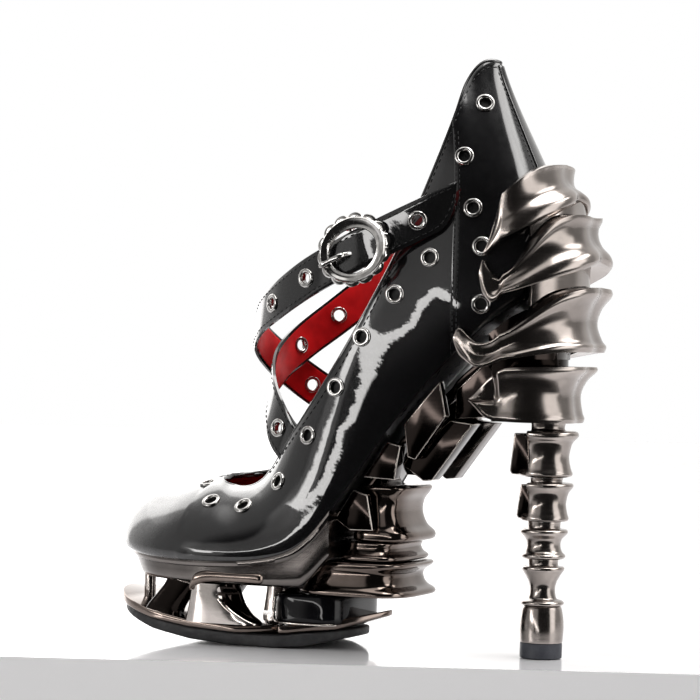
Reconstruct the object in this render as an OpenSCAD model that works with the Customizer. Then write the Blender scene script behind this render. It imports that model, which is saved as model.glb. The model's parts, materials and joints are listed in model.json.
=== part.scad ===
// High-heel platform shoe for the left foot, with a heel of stacked plates and spools.
// Toe toward -X, outer side toward -Y, floor at Z = 0.

/* [Upper] */
// Thickness of the patent leather
leather_t = 1.2; // [0.8:0.1:1.6]
// Thickness of the red lining
lining_t = 0.8; // [0.5:0.1:1.0]
// Thickness of the insole board
board_t = 2.4; // [1.6:0.2:3]
// Thickness of the sock over the board
sock_t = 1; // [0.6:0.1:1.4]

/* [Straps] */
// Width of the crossing straps
strap_w = 16; // [12:0.5:18]
// Thickness of the crossing straps
strap_t = 2; // [1.4:0.1:2.4]

/* [Eyelets] */
// Diameter of an eyelet's flange
eyelet_d = 8.2; // [6:0.2:9]
// Diameter of an eyelet's hole
eyelet_bore = 4.5; // [3:0.1:5]

/* [Buckle] */
// Length of the oval frame along the strap
buckle_l = 30; // [27:0.5:33]
// Width of the oval frame across the strap
buckle_w = 26; // [25:0.5:28]
// Diameter of the buckle bar
bar_d = 2.2; // [1.8:0.1:2.4]

/* [Heel] */
// Distance of the heel column from the origin
heel_x = 85.5; // [84:0.5:87]
// Diameter of the steel rod in the heel
rod_d = 6; // [4:0.5:7]
// Diameter of the rubber top lift
lift_d = 17.6; // [16:0.2:18.4]
// Height of the rubber top lift
lift_h = 6.5; // [5:0.5:7]

/* [Platform] */
// Height of the deck's underside over the floor
deck_z = 26.5; // [25:0.5:28]
// Thickness of the rubber outsole at its thickest point
outsole_t = 3.4; // [2.5:0.1:4]

/* [Hidden] */

// Height of the buckle ring's underside over its bar, and the ring's thickness
ring_z = 4.8;
ring_t = 2.2;
patent = "#16161a";
red = "#a81820";
nickel = "#c9c9cc";
gunmetal = "#8d8782";
dark_chrome = "#4a4542";
rubber = "#1d1e20";

// Stations round the upper from the toe centre (0) to the back seam (13).
// Each has four points from the sole to the top edge: [x, half width, z].
UPPER = [
    [[-104, 0, 39], [-110.5, 0, 43.5], [-109.6, 0, 53], [-102, 0, 61]],
    [[-99, 16, 37], [-102.5, 19, 43.5], [-99, 14, 56.5], [-91, 0, 65]],
    [[-85, 29, 35.5], [-86, 32, 43], [-83, 25, 57], [-79, 0, 67.5]],
    [[-67, 37, 35], [-67, 40.5, 44], [-66, 31, 60], [-65, 0, 70]],
    [[-46, 41, 35.5], [-46, 43, 46], [-48, 34, 60], [-52, 15, 68.5]],
    [[-25, 40, 37.5], [-26, 42, 49], [-31, 36, 62], [-36, 24, 71.5]],
    [[-7, 37, 45.5], [-10, 40, 59], [-17, 37, 74], [-22, 31, 86]],
    [[12, 33, 73], [7, 37, 85], [0, 37, 98], [-5.5, 34, 107]],
    [[28, 30, 97], [23, 34, 111], [17, 36, 124], [11, 34.5, 133]],
    [[42, 28.5, 114], [39, 33, 131], [35, 34, 156], [32.5, 31, 176]],
    [[52, 28.5, 125], [53, 33, 155], [52.5, 29, 191], [48, 20, 224]],
    [[70, 27, 141], [72, 29, 168], [64, 22, 206], [50.5, 11, 241]],
    [[85, 18, 150], [86, 22, 174], [72, 14, 214], [56, 6, 249.4]],
    [[92, 0, 152.5], [94, 0, 177], [78.5, 0, 211], [62, 0, 249]]
];
SEAM = len(UPPER) - 1;
RIDGE_END = 3;
VAMP_END = 5.5;
QUARTER_END = 10;

// Middle line of strap A, from the inner quarter over the instep to its free end
STRAP_A = [[-3, 41, 88.5], [-18, 35, 100], [-33, 23, 112], [-43, 10, 123], [-45.5, -3, 132], [-39, -16, 139.5],
    [-27, -26.5, 146.5], [-12, -34, 155], [1, -38, 161.5], [14, -39.6, 168], [25, -38.8, 173.5],
    [36, -37, 179], [47, -34.8, 184.5], [58, -31.8, 190]];
// Middle line of strap B, from the outer quarter over the instep to the inner quarter
STRAP_B = [[-13, -24.5, 79], [-24.5, -23, 90], [-32, -17, 102], [-36, -7, 112.5], [-36.5, 4, 121], [-32, 16, 130],
    [-22, 26, 140.5], [-8, 33, 153], [8, 36.5, 166], [22, 37.2, 176.5], [36, 36, 185]];
// Short anchor strap under the buckle bar
STRAP_ANCHOR = [[18, -36.5, 170], [26, -36, 174], [34, -34.6, 177.8]];
// Axis of the ankle inside the straps
ANKLE = [4, 0, 150];
// Eyelets along the top edge, as [station, height]
QUARTER_EYELETS = [[5.65, 0.7], [6.6, 0.73], [7.38, 0.77], [8.07, 0.83], [8.72, 0.72], [9.45, 0.59]];
COUNTER_EYELETS = [[10.67, 0.15], [10.67, 0.39], [10.49, 0.55], [10.3, 0.77], [11.4, 0.85]];

// Middle of the buckle, where its bar crosses the strap
BUCKLE = [14, -37, 168];
BUCKLE_YAW = -3;
BUCKLE_PITCH = -27;

function bump(t) = t * t * (3 - 2 * t);
function clamp01(t) = min(1, max(0, t));
function unit(v) = v / norm(v);

// Smooth curve through p1 and p2
function cat(p0, p1, p2, p3, t) =
    0.5 * (2 * p1 + (p2 - p0) * t + (2 * p0 - 5 * p1 + 4 * p2 - p3) * t * t
    + (3 * p1 - p0 - 3 * p2 + p3) * t * t * t);
function spline(list, u) =
    let (n = len(list) - 1, i = min(floor(u), n - 1))
    cat(list[max(i - 1, 0)], list[i], list[i + 1], list[min(i + 2, n)], u - i);

// The station table goes on past both ends as its own mirror image
function flip(row) = [for (p = row) [p[0], -p[1], p[2]]];
function station(i) = i < 0 ? flip(UPPER[-i]) : i > SEAM ? flip(UPPER[2 * SEAM - i]) : UPPER[i];
function station_row(a) =
    let (i = floor(a))
    [for (k = [0:3]) cat(station(i - 1)[k], station(i)[k], station(i + 1)[k], station(i + 2)[k], a - i)];
function four_point(r, h) =
    -4.5 * (h - 1 / 3) * (h - 2 / 3) * (h - 1) * r[0] + 13.5 * h * (h - 2 / 3) * (h - 1) * r[1]
    - 13.5 * h * (h - 1 / 3) * (h - 1) * r[2] + 4.5 * h * (h - 1 / 3) * (h - 2 / 3) * r[3];
// The forefoot leans to the big toe's side
function lean(a) = 0.27 * bump(clamp01((8 - abs(a)) / 4));
function instep_rise(a) = 5 * bump(clamp01(1 - abs(a - 4.6) / 1.6));
function toe_shift(a) = 4 * bump(clamp01(1 - abs(a) / 4));
function upper_point(a, h, s) =
    let (r = station_row(a), p = four_point(r, h))
    [p[0], s * p[1] + lean(a) * (p[2] - r[0][2]) + toe_shift(a), p[2] + (s > 0 ? instep_rise(a) * h : 0)];
// Outward normal, taken just off the toe line and the ridge, where the stations meet
function upper_normal(a, h, s) =
    let (e = 0.02, a1 = max(a, 0.12), h1 = a < 3.2 ? min(h, 0.96) : h,
        da = upper_point(a1 + e, h1, s) - upper_point(a1 - e, h1, s),
        dh = upper_point(a1, min(h1 + e, 1), s) - upper_point(a1, max(h1 - e, 0), s))
    -s * unit(cross(da, dh));
// A point under the outer surface by depth d
function under(a, h, s, d) = upper_point(a, h, s) - d * upper_normal(a, h, s);

function tri_pair(a, b, c, d, turn) = turn ? [[a, b, c], [a, c, d]] : [[c, b, a], [d, c, a]];
function join(lists) = [for (l = lists) for (x = l) x];
function steps(a0, a1, n) = [for (i = [0:n]) a0 + (a1 - a0) * i / n];

// A shell of the upper from station a0 to a1, between depths d0 and d1.
// sides is [-1], [1] or both; with both, the halves share the toe line, back seam and ridge.
module upper_shell(a0, a1, n, m, d0, d1, sides) {
    av = steps(a0, a1, n);
    pts = [for (s = sides) for (d = [d0, d1]) for (a = av) for (j = [0:m]) under(a, j / m, s, d)];
    function shared(i, j) = (a0 == 0 && i == 0) || (a1 == SEAM && i == n) || (j == m && av[i] <= RIDGE_END);
    function id(k, layer, i, j) =
        let (kk = k == 1 && shared(i, j) ? 0 : k)
        ((kk * 2 + layer) * (n + 1) + i) * (m + 1) + j;
    faces = join([for (k = [0:len(sides) - 1]) let (f = sides[k] > 0) join([
        join([for (i = [0:n - 1]) for (j = [0:m - 1]) tri_pair(
            id(k, 0, i, j + 1), id(k, 0, i + 1, j + 1), id(k, 0, i + 1, j), id(k, 0, i, j), !f)]),
        join([for (i = [0:n - 1]) for (j = [0:m - 1]) tri_pair(
            id(k, 1, i, j + 1), id(k, 1, i + 1, j + 1), id(k, 1, i + 1, j), id(k, 1, i, j), f)]),
        join([for (i = [0:n - 1]) tri_pair(
            id(k, 0, i, 0), id(k, 0, i + 1, 0), id(k, 1, i + 1, 0), id(k, 1, i, 0), !f)]),
        join([for (i = [0:n - 1]) if (av[i + 1] > RIDGE_END) tri_pair(
            id(k, 0, i, m), id(k, 0, i + 1, m), id(k, 1, i + 1, m), id(k, 1, i, m), f)]),
        a0 == 0 ? [] : join([for (j = [0:m - 1]) tri_pair(
            id(k, 0, 0, j), id(k, 0, 0, j + 1), id(k, 1, 0, j + 1), id(k, 1, 0, j), f)]),
        a1 == SEAM ? [] : join([for (j = [0:m - 1]) tri_pair(
            id(k, 0, n, j), id(k, 0, n, j + 1), id(k, 1, n, j + 1), id(k, 1, n, j), !f)])
    ])]);
    polyhedron(points = pts, faces = faces, convexity = 10);
}

// A point of the sole's edge, moved in by inset in the plan view
function sole_edge(a, s, inset) =
    let (e = 0.02, a1 = max(a, 0.12), p = upper_point(a, 0, s),
        d = upper_point(a1 + e, 0, s) - upper_point(a1 - e, 0, s))
    [p[0], p[1]] + s * inset * unit([d[1], -d[0]]);
// A slab across the sole from station a0 to a1, inset from the upper's outer surface.
// top and bottom are functions of the station and of the sole's height there.
module sole_slab(a0, a1, n, inset, top, bottom) {
    av = steps(a0, a1, n);
    pts = [for (a = av) let (z = upper_point(a, 0, -1)[2], near = sole_edge(a, -1, inset), far = sole_edge(a, 1, inset))
        each [[near[0], near[1], top(a, z)], [far[0], far[1], top(a, z)],
            [far[0], far[1], bottom(a, z)], [near[0], near[1], bottom(a, z)]]];
    ring = [for (i = [0:n - 1]) for (k = [0:3])
        each tri_pair(4 * i + k, 4 * i + (k + 1) % 4, 4 * i + 4 + (k + 1) % 4, 4 * i + 4 + k, true)];
    ends = [[3, 2, 1], [3, 1, 0], [4 * n, 4 * n + 1, 4 * n + 2], [4 * n, 4 * n + 2, 4 * n + 3]];
    polyhedron(points = pts, faces = concat(ring, ends), convexity = 10);
}

// A flat ribbon along a line, facing away from the ankle's axis
function ribbon_tangent(line, u) =
    unit(spline(line, min(u + 0.05, len(line) - 1)) - spline(line, max(u - 0.05, 0)));
function ribbon_out(line, u) =
    let (p = spline(line, u), o = [(p[0] - ANKLE[0] - 0.35 * (p[2] - ANKLE[2])) / 42, p[1] / 34, 0],
        t = ribbon_tangent(line, u))
    unit(o - (o * t) * t);
module ribbon(line, width, thick, n) {
    us = steps(0, len(line) - 1, n);
    pts = [for (u = us) let (p = spline(line, u), o = ribbon_out(line, u) * thick / 2,
        w = cross(ribbon_out(line, u), ribbon_tangent(line, u)) * width / 2)
        each [p + o + w, p + o - w, p - o - w, p - o + w]];
    ring = [for (i = [0:n - 1]) for (k = [0:3])
        each tri_pair(4 * i + k, 4 * i + (k + 1) % 4, 4 * i + 4 + (k + 1) % 4, 4 * i + 4 + k, false)];
    ends = [[0, 1, 2], [0, 2, 3], [4 * n + 2, 4 * n + 1, 4 * n], [4 * n + 3, 4 * n + 2, 4 * n]];
    polyhedron(points = pts, faces = concat(ring, ends), convexity = 10);
}

// Turns +Z onto direction d and moves to p
module place(p, d) {
    translate(p) rotate([0, acos(d[2] / norm(d)), atan2(d[1], d[0])]) children();
}
// One rolled eyelet, its flange on Z = 0 and its barrel through t of leather
module eyelet(t) {
    rotate_extrude($fn = 32) polygon([
        [eyelet_bore / 2, -t - 0.5], [eyelet_bore / 2 + 1.3, -t - 0.5], [eyelet_bore / 2 + 1.3, -t],
        [eyelet_bore / 2 + 0.5, -t], [eyelet_bore / 2 + 0.5, 0], [eyelet_d / 2, 0], [eyelet_d / 2 - 0.3, 0.5],
        [eyelet_d / 2 - 1, 0.8], [eyelet_bore / 2 + 0.3, 0.6], [eyelet_bore / 2, 0.2]]);
}
module upper_eyelets(spots, sides) {
    color(nickel) for (s = sides) for (q = spots)
        place(upper_point(q[0], q[1], s), upper_normal(q[0], q[1], s)) eyelet(leather_t + lining_t);
}
module strap_eyelets(line, spots) {
    color(nickel) for (u = spots)
        place(spline(line, u) + ribbon_out(line, u) * strap_t / 2, ribbon_out(line, u)) eyelet(strap_t);
}

// An outline in the side view, extruded across the shoe from y0 to y1
module side_block(points, y0, y1) {
    rotate([90, 0, 0]) translate([0, 0, -y1]) linear_extrude(y1 - y0) polygon(points);
}
// A rounded outline in the plan view: straight front at x0, round back at x1
module plan_shape(x0, x1, half, height) {
    linear_extrude(height) {
        translate([x0, -half]) square([max(x1 - half - x0, 0.1), 2 * half]);
        intersection() {
            translate([x1 - half, 0]) circle(half, $fn = 64);
            translate([x0, -half]) square([x1 - x0, 2 * half]);
        }
    }
}

// Upper
module vamp() {
    color(patent) upper_shell(0, VAMP_END, 22, 8, 0, leather_t, [-1, 1]);
}
module quarter_outer() {
    color(patent) upper_shell(VAMP_END + 0.01, QUARTER_END - 0.01, 18, 8, 0, leather_t, [-1]);
}
module quarter_inner() {
    color(patent) upper_shell(VAMP_END + 0.01, QUARTER_END - 0.01, 18, 8, 0, leather_t, [1]);
}
module heel_counter() {
    color(patent) upper_shell(QUARTER_END, SEAM, 12, 8, 0, leather_t, [-1, 1]);
}
module lining() {
    color(red) upper_shell(0, SEAM, 52, 8, leather_t + 0.1, leather_t + lining_t, [-1, 1]);
}
module insole_board() {
    color("#b79a72") difference() {
        sole_slab(0.3, 12.8, 25, 2.4, function(a, z) z + board_t, function(a, z) z);
        for (x = [76, 84]) translate([x, 0, 120]) cylinder(h = 60, d = 3.2, $fn = 24);
    }
}
module sock() {
    color(red) sole_slab(0.4, 12.75, 25, 2.6, function(a, z) z + board_t + sock_t,
        function(a, z) z + board_t + 0.02);
}
module steel_shank() {
    shank_t = 1.4;
    color("#9a9a9a") side_block([
        [-4, 46.4], [4, 58.6], [12, 71.2], [28, 95.2], [42, 112.2], [52, 123.2], [62, 132.2],
        [62, 132.2 - shank_t], [52, 123.2 - shank_t], [42, 112.2 - shank_t], [28, 95.2 - shank_t],
        [12, 71.2 - shank_t], [4, 58.6 - shank_t], [-4, 46.4 - shank_t]], -6, 6);
}

// Straps
module strap_a() {
    color(patent) difference() {
        ribbon(STRAP_A, strap_w, strap_t, 40);
        buckle_place() translate([-8.5, -2.2, -2]) cube([13, 4.4, 9]);
    }
}
module strap_b() {
    color(patent) ribbon(STRAP_B, strap_w, strap_t, 32);
}
module strap_anchor() {
    color(patent) ribbon(STRAP_ANCHOR, 10, 1, 6);
}

// Eyelets, as [station, height] on the upper or as places along a strap
module eyelets_vamp() {
    upper_eyelets([[4.5, 0.64], [3.55, 0.68], [2.95, 0.86]], [-1, 1]);
}
module eyelets_quarter_outer() {
    upper_eyelets(QUARTER_EYELETS, [-1]);
}
module eyelets_quarter_inner() {
    upper_eyelets(QUARTER_EYELETS, [1]);
}
module eyelets_counter() {
    upper_eyelets(COUNTER_EYELETS, [-1, 1]);
}
module eyelets_strap_a() {
    strap_eyelets(STRAP_A, [1.9, 5.85, 7.15, 11.3]);
}
module eyelets_strap_b() {
    strap_eyelets(STRAP_B, [1.2, 4.8, 6.1]);
}

// Buckle: X along the strap toward the heel, Y along the bar, Z away from the foot
module buckle_place() {
    translate(BUCKLE) rotate([0, BUCKLE_PITCH, BUCKLE_YAW]) rotate([90, 0, 0]) children();
}
module buckle_frame() {
    lug_y = buckle_w / 2 - 2.3;
    color(nickel) buckle_place() difference() {
        union() {
            translate([0, 0, ring_z]) oval_band(buckle_l / 2, buckle_w / 2, 3.2, ring_t);
            for (s = [-1, 1]) translate([-2.2, s * lug_y - 1.4, -2]) cube([4.4, 2.8, ring_z + 3]);
            for (k = [0:17]) let (q = k * 20 + 10)
                translate([buckle_l / 2 * cos(q), buckle_w / 2 * sin(q), ring_z + 0.3])
                    cylinder(h = 1.6, r = 1.5, $fn = 24);
        }
        rotate([90, 0, 0]) cylinder(h = buckle_w + 6, d = bar_d, center = true, $fn = 32);
    }
}
// A flat oval band built from two circular discs of a uniform scale and a stretched middle
module oval_band(rx, ry, wide, h) {
    linear_extrude(h) difference() {
        oval(rx, ry);
        oval(rx - wide, ry - wide);
    }
}
module oval(rx, ry) {
    d = rx - ry;
    for (s = [-1, 1]) translate([s * d, 0]) circle(ry, $fn = 64);
    translate([-d, -ry]) square([2 * d, 2 * ry]);
}
module buckle_bar() {
    color(nickel) buckle_place() rotate([90, 0, 0])
        cylinder(h = buckle_w - 2, d = bar_d, center = true, $fn = 32);
}
module buckle_prong() {
    prong_w = 2.2;
    color(nickel) buckle_place() difference() {
        union() {
            rotate([90, 0, 0]) cylinder(h = 3, d = bar_d + 2, center = true, $fn = 32);
            rotate([90, 0, 0]) linear_extrude(prong_w, center = true)
                polygon([[-0.4, 1.6], [-1.9, 0.4], [-6.4, 7.2], [-14, 7.6], [-15.6, 7.2], [-15.6, 8.2], [-14, 9],
                    [-5.6, 8.8]]);
        }
        rotate([90, 0, 0]) cylinder(h = 8, d = bar_d + 0.12, center = true, $fn = 32);
    }
}

// Platform
module platform_deck() {
    color(gunmetal) difference() {
        sole_slab(0.3, 6.1, 16, 1.2, function(a, z) z - 0.1,
            function(a, z) deck_z + 3 * bump(clamp01((1.5 - a) / 1.5)) + 11 * bump(clamp01((a - 4.6) / 1.8)));
        for (s = [-1, 1]) strut_finger(s, 0.05);
    }
}
// The finger of a middle strut, let into the side of the deck; gap is the room round it
module strut_finger(s, gap) {
    y = s < 0 ? -38.6 : 38.6;
    translate([-50 - gap, y, 29.4]) rotate([0, 90, 0]) cylinder(h = 24 + 2 * gap, r = 2.4 + gap, $fn = 32);
    translate([-55 - gap, s < 0 ? -39 : 34, 26.2]) cube([13 + 2 * gap, 5, 5.6 + gap]);
}
module front_strut(s) {
    y0 = s < 0 ? -33 : 24;
    color(gunmetal) side_block([[-69.4, 26.4], [-62.4, 26.4], [-72, 11.7], [-80, 13], [-79, 17]], y0, y0 + 9);
}
module front_strut_outer() {
    front_strut(-1);
}
module front_strut_inner() {
    front_strut(1);
}
module mid_strut(s) {
    y0 = s < 0 ? -40 : 27;
    color(gunmetal) {
        side_block([[-58, 26.2], [-43, 26.2], [-41, 20], [-35, 13.4], [-28, 9], [-40, 8.4], [-62, 10], [-61, 13],
            [-59, 20]],
            y0 + (s < 0 ? 1 : 0), y0 + (s < 0 ? 13 : 12));
        strut_finger(s, 0);
    }
}
module mid_strut_outer() {
    mid_strut(-1);
}
module mid_strut_inner() {
    mid_strut(1);
}
module toe_posts() {
    color(gunmetal) for (y = [-9, 13]) translate([-92, y, 13.5]) cylinder(h = 14.5, d = 5, $fn = 32);
}
module base_plate() {
    color(gunmetal) intersection() {
        side_block([[-108, 18], [-96, 13.6], [-80, 9.6], [-62, 6.8], [-40, 5.4], [-18, 5.6], [2, 8.4], [18, 13.6],
            [18, 16], [2, 12.2], [-18, 9.2], [-40, 8.2], [-62, 9.8], [-80, 12.8], [-96, 17], [-108, 21.4]], -60, 60);
        union() {
            translate([-60, 0, 0]) linear_extrude(40) foot_outline(46, 34);
            linear_extrude(40) polygon([[-22, -29], [-22, 29], [4, 20], [18, 2], [18, -2], [4, -20]]);
        }
    }
}
// A rounded forefoot outline, half long and half wide
module foot_outline(long, wide) {
    for (s = [-1, 1]) translate([s * (long - wide), 0]) circle(wide, $fn = 96);
    translate([wide - long, -wide]) square([2 * (long - wide), 2 * wide]);
}
module outsole() {
    color(rubber) intersection() {
        side_block([[-100, 10.8], [-80, 4.8], [-62, 1.4], [-44, 0.1], [-36, 0], [-24, 0], [-10, 1.2], [6, 4.6],
            [6, 4.6 + outsole_t], [-10, 6.4], [-20, 5.1], [-40, 5.1], [-62, 6.5], [-80, 9.3], [-100, 14.4]], -60, 60);
        translate([-49, 0, 0]) linear_extrude(40) foot_outline(55, 32);
    }
}
module core_block() {
    color("#0e0e12") intersection() {
        side_block([[-26, 9.9], [-18, 9.8], [2, 12.8], [5, 14], [6, 17], [5, 20.6], [2, 22.2], [-18, 22.4],
            [-24, 21.6], [-27.6, 19], [-29, 15.6], [-28.4, 12]], -26, 26);
        plan_shape(-60, 8, 26, 60);
    }
}
module rear_flange_lower() {
    color(gunmetal) {
        intersection() {
            side_block([[-18, 22.8], [33, 23.6], [33, 25], [26, 27], [23.5, 31], [23.5, 33.5], [27, 37.4],
                [-2, 37.4], [-4, 30], [-10, 26.4], [-18, 25.6]], -30, 30);
            plan_shape(-60, 33, 28, 60);
        }
    }
}
module rear_flange_upper() {
    color(gunmetal) intersection() {
        side_block([[0, 37.8], [26, 37.8], [29, 39.4], [27, 42], [20, 43.6], [20, 45.6], [5, 45.6], [2, 42.6]],
            -28, 28);
        plan_shape(-60, 29, 25, 60);
    }
}
module arch_vertebra() {
    color(dark_chrome) intersection() {
        side_block([[5, 46], [24, 46], [28, 46.4], [33, 49.6], [31, 54], [27.5, 58], [27, 69], [17.5, 69.6],
            [12, 60.4]], -24, 24);
        plan_shape(-60, 33, 22, 80);
    }
}

// Arch
module arch_fairing() {
    color(dark_chrome) sole_slab(6.25, 10.6, 12, 15.5, function(a, z) z - 8.2, function(a, z) z - 12);
}
module arch_block(points, y0, y1) {
    color(dark_chrome) for (s = [0, 1]) mirror([0, s, 0]) side_block(points, y0, y1);
}
module arch_block_lower() {
    arch_block([[1.7, 55.4], [9.6, 68], [16, 66], [19, 51], [8.6, 50.8]], 22.4, 26.5);
}
module arch_block_middle() {
    arch_block([[13.6, 73.2], [24, 88.6], [30, 87], [27.6, 72.6]], 18.4, 25.5);
}
module arch_block_upper() {
    arch_block([[31, 96.2], [46.6, 114.6], [49.6, 100], [36.4, 81.4], [33, 82.4]], 19.4, 25);
}
module arch_bar(y) {
    color(dark_chrome) translate([0, y, 0])
        side_block([[49.4, 98.2], [59.6, 97], [42, 72.8], [38, 72.4], [29, 78.6], [31, 82]], -5, 5);
}
module arch_bar_outer() {
    arch_bar(-14);
}
module arch_bar_inner() {
    arch_bar(14);
}
module arch_link() {
    color(dark_chrome) side_block([[50.4, 98.6], [62, 99.6], [66.8, 101.4], [66.8, 124], [62, 121.8], [50.8, 111]],
        -16, 16);
}

// Heel
module heel_core() {
    color(dark_chrome) difference() {
        union() {
            intersection() {
                side_block([[67.2, 124.6], [92, 124.6], [94, 149], [85, 146.6], [76, 141.6], [67.2, 134.6]], -30, 30);
                plan_shape(40, 94, 24, 200);
            }
            translate([0, 0, 98.4]) plan_shape(67.2, 93.5, 18.5, 26.4);
        }
        translate([heel_x, 0, 90]) cylinder(h = 50, d = rod_d, $fn = 48);
        for (x = [76, 84]) translate([x, 0, 120]) cylinder(h = 60, d = 3.2, $fn = 24);
    }
}
module heel_rod() {
    color(nickel) translate([heel_x, 0, 8]) cylinder(h = 118, d = rod_d - 0.02, $fn = 48);
}
module seat_screws() {
    color(nickel) {
        translate([76, 0, 128]) cylinder(h = 18.5, d = 3, $fn = 24);
        translate([84, 0, 133]) cylinder(h = 18.5, d = 3, $fn = 24);
    }
}

// Plan of a wrapping plate: t = 0 at the back, 1 at a wing tip; b = back, w = half width
function wrap(t, b, w, tip, start) =
    let (u = abs(t), q = min(u / 0.5, 1) * 90)
    [u < 0.5 ? start + (b - start) * cos(q) : start + (tip - start) * (u - 0.5) / 0.5, sign(t) * w * sin(q)];
// One plate: heights of its top and bottom edges at five places from the back to the tip,
// then [back, half width] of the rim and of the inner wall's bottom and top
module wrap_plate(tip, start, tops, bottoms, rim, inner_low, inner_high, profile, reach = 1, n = 32) {
    ts = [for (i = [0:n]) reach * (2 * i / n - 1)];
    m = len(profile) + 2;
    pts = [for (t = ts) let (zt = spline(tops, abs(t) * 4), zb = spline(bottoms, abs(t) * 4)) each concat(
        [for (q = profile) let (p = wrap(t, rim[0] - q[1], rim[1] - q[1] * rim[2], tip, start))
            [p[0], p[1], zb + (zt - zb) * q[0]]],
        [let (p = wrap(t, inner_high[0], inner_high[1], tip, start)) [p[0], p[1], zt],
            let (p = wrap(t, inner_low[0], inner_low[1], tip, start)) [p[0], p[1], zb]])];
    ring = [for (i = [0:n - 1]) for (k = [0:m - 1])
        each tri_pair(m * i + k, m * i + (k + 1) % m, m * i + m + (k + 1) % m, m * i + m + k, true)];
    first = [for (k = [1:m - 2]) [k + 1, k, 0]];
    last = [for (k = [1:m - 2]) [m * n, m * n + k, m * n + k + 1]];
    color(gunmetal) polyhedron(points = pts, faces = concat(ring, first, last), convexity = 10);
}
module heel_plate_1() {
    wrap_plate(67, 74, [206, 203, 192, 178, 169], [191, 183.5, 173.5, 169.5, 166.5], [100, 33, 0.2], [96, 31.2],
        [87.5, 29], [[0, 0.8], [0.1, 0], [0.25, 0.4], [0.45, 2.6], [0.7, 5.4], [1, 8]]);
}
module heel_plate_2() {
    wrap_plate(66.5, 76, [184, 182, 158.6, 159, 166], [165.5, 159.6, 152.2, 150.5, 156], [110.8, 36, 0.4], [98, 32.2],
        [96.4, 31], [[0, 1], [0.12, 0], [0.26, 1], [0.5, 5.4], [0.75, 6.2], [0.92, 4.9], [1, 5.3]],
        n = 33);
}
module heel_plate_3() {
    wrap_plate(56, 76, [155, 151.5, 134.5, 131, 138], [128, 127.8, 125.4, 123.5, 131], [111.3, 36, 0.4], [96, 31.2],
        [96, 31.2], [[0, 3.2], [0.1, 2.4], [0.2, 4.4], [0.45, 6.6], [0.7, 4.6], [0.9, 0.4], [1, 0.6]]);
}
// Necks that join the upper three plates at the back
module heel_neck_upper() {
    wrap_plate(67, 74, [190.5, 183, 172, 172, 172], [184.5, 182.4, 160, 160, 160], [98.6, 31.6, 0.3], [95.6, 30.2],
        [94.6, 29.6], [[0, 0], [1, 0.4]], 0.34);
}
module heel_neck_lower() {
    wrap_plate(67, 74, [165, 159, 151.8, 150, 150], [155.5, 152, 136, 136, 136], [101, 33, 0.3], [96.6, 31],
        [96.4, 31], [[0, 0], [1, 0]], 0.34);
}
module heel_plate_4() {
    wrap_plate(60, 76, [122, 121.6, 120.6, 116, 109], [98.4, 98.4, 98.6, 100, 106], [106, 29, 0.5], [94, 19],
        [94, 22], [[0, 6], [0.08, 5.4], [0.2, 6.4], [0.5, 7.2], [0.75, 4.6], [0.92, 0.4], [1, 0.4]]);
}
// A turned part of the column: its outline as [radius, z], bored for the rod
module turned(outline) {
    z0 = outline[0][1];
    z1 = outline[len(outline) - 1][1];
    translate([heel_x, 0, 0]) rotate_extrude($fn = 64)
        polygon(concat([[rod_d / 2, z0]], outline, [[rod_d / 2, z1]]));
}
module fin(x0, x1, z0, z1) {
    side_block([[x0, z0], [x1 + 4, z0], [x1 + 2, z1 - 4], [x1, z1], [x0 + 3, z1]], -5.5, 5.5);
}
module fin_vertebra_upper() {
    color(gunmetal) {
        turned([[8, 75.4], [10.6, 76], [11.4, 77], [10.6, 79.4], [9.8, 84], [11, 89.6], [13, 92], [13.6, 93.4],
            [12.6, 94.8], [8, 95.2], [8, 98.1]]);
        difference() {
            fin(71.6, 76, 76, 93.6);
            translate([heel_x, 0, 70]) cylinder(h = 30, d = rod_d + 1, $fn = 48);
        }
    }
}
module fin_vertebra_lower() {
    color(gunmetal) {
        turned([[7.2, 57.2], [9.6, 57.4], [10.2, 58.4], [9.6, 60.6], [9, 64.4], [9.8, 68.6], [11.4, 71], [11.9, 72.2],
            [11, 73.2], [7.5, 73.4], [7.5, 75.2]]);
        difference() {
            fin(75, 78, 57.8, 72.4);
            translate([heel_x, 0, 50]) cylinder(h = 30, d = rod_d + 1, $fn = 48);
        }
    }
}
module spool_upper() {
    color(gunmetal) turned([[8, 41.4], [9, 42], [9.2, 43], [7.8, 44.6], [7.1, 47], [7.6, 49.6], [9.6, 51.8],
        [10.1, 52.8], [9.4, 53.8], [7, 54.2], [7, 57]]);
}
module spool_lower() {
    color(gunmetal) turned([[7.8, 22], [8.9, 22.4], [9, 23.4], [8, 24.2], [6, 25], [5.3, 28.6], [6, 32], [8, 35.6],
        [8.9, 37], [8.6, 38.2], [6.4, 38.6], [6.4, 41.2]]);
}
module heel_barrel() {
    color(gunmetal) turned([[8.6, lift_h + 0.1], [9.1, 9], [9.3, 12.5], [9.1, 16.5], [8.4, 20.4], [7.8, 21.8]]);
}
module top_lift() {
    color(rubber) translate([heel_x, 0, 0]) cylinder(h = lift_h, d = lift_d, $fn = 64);
}

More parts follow.
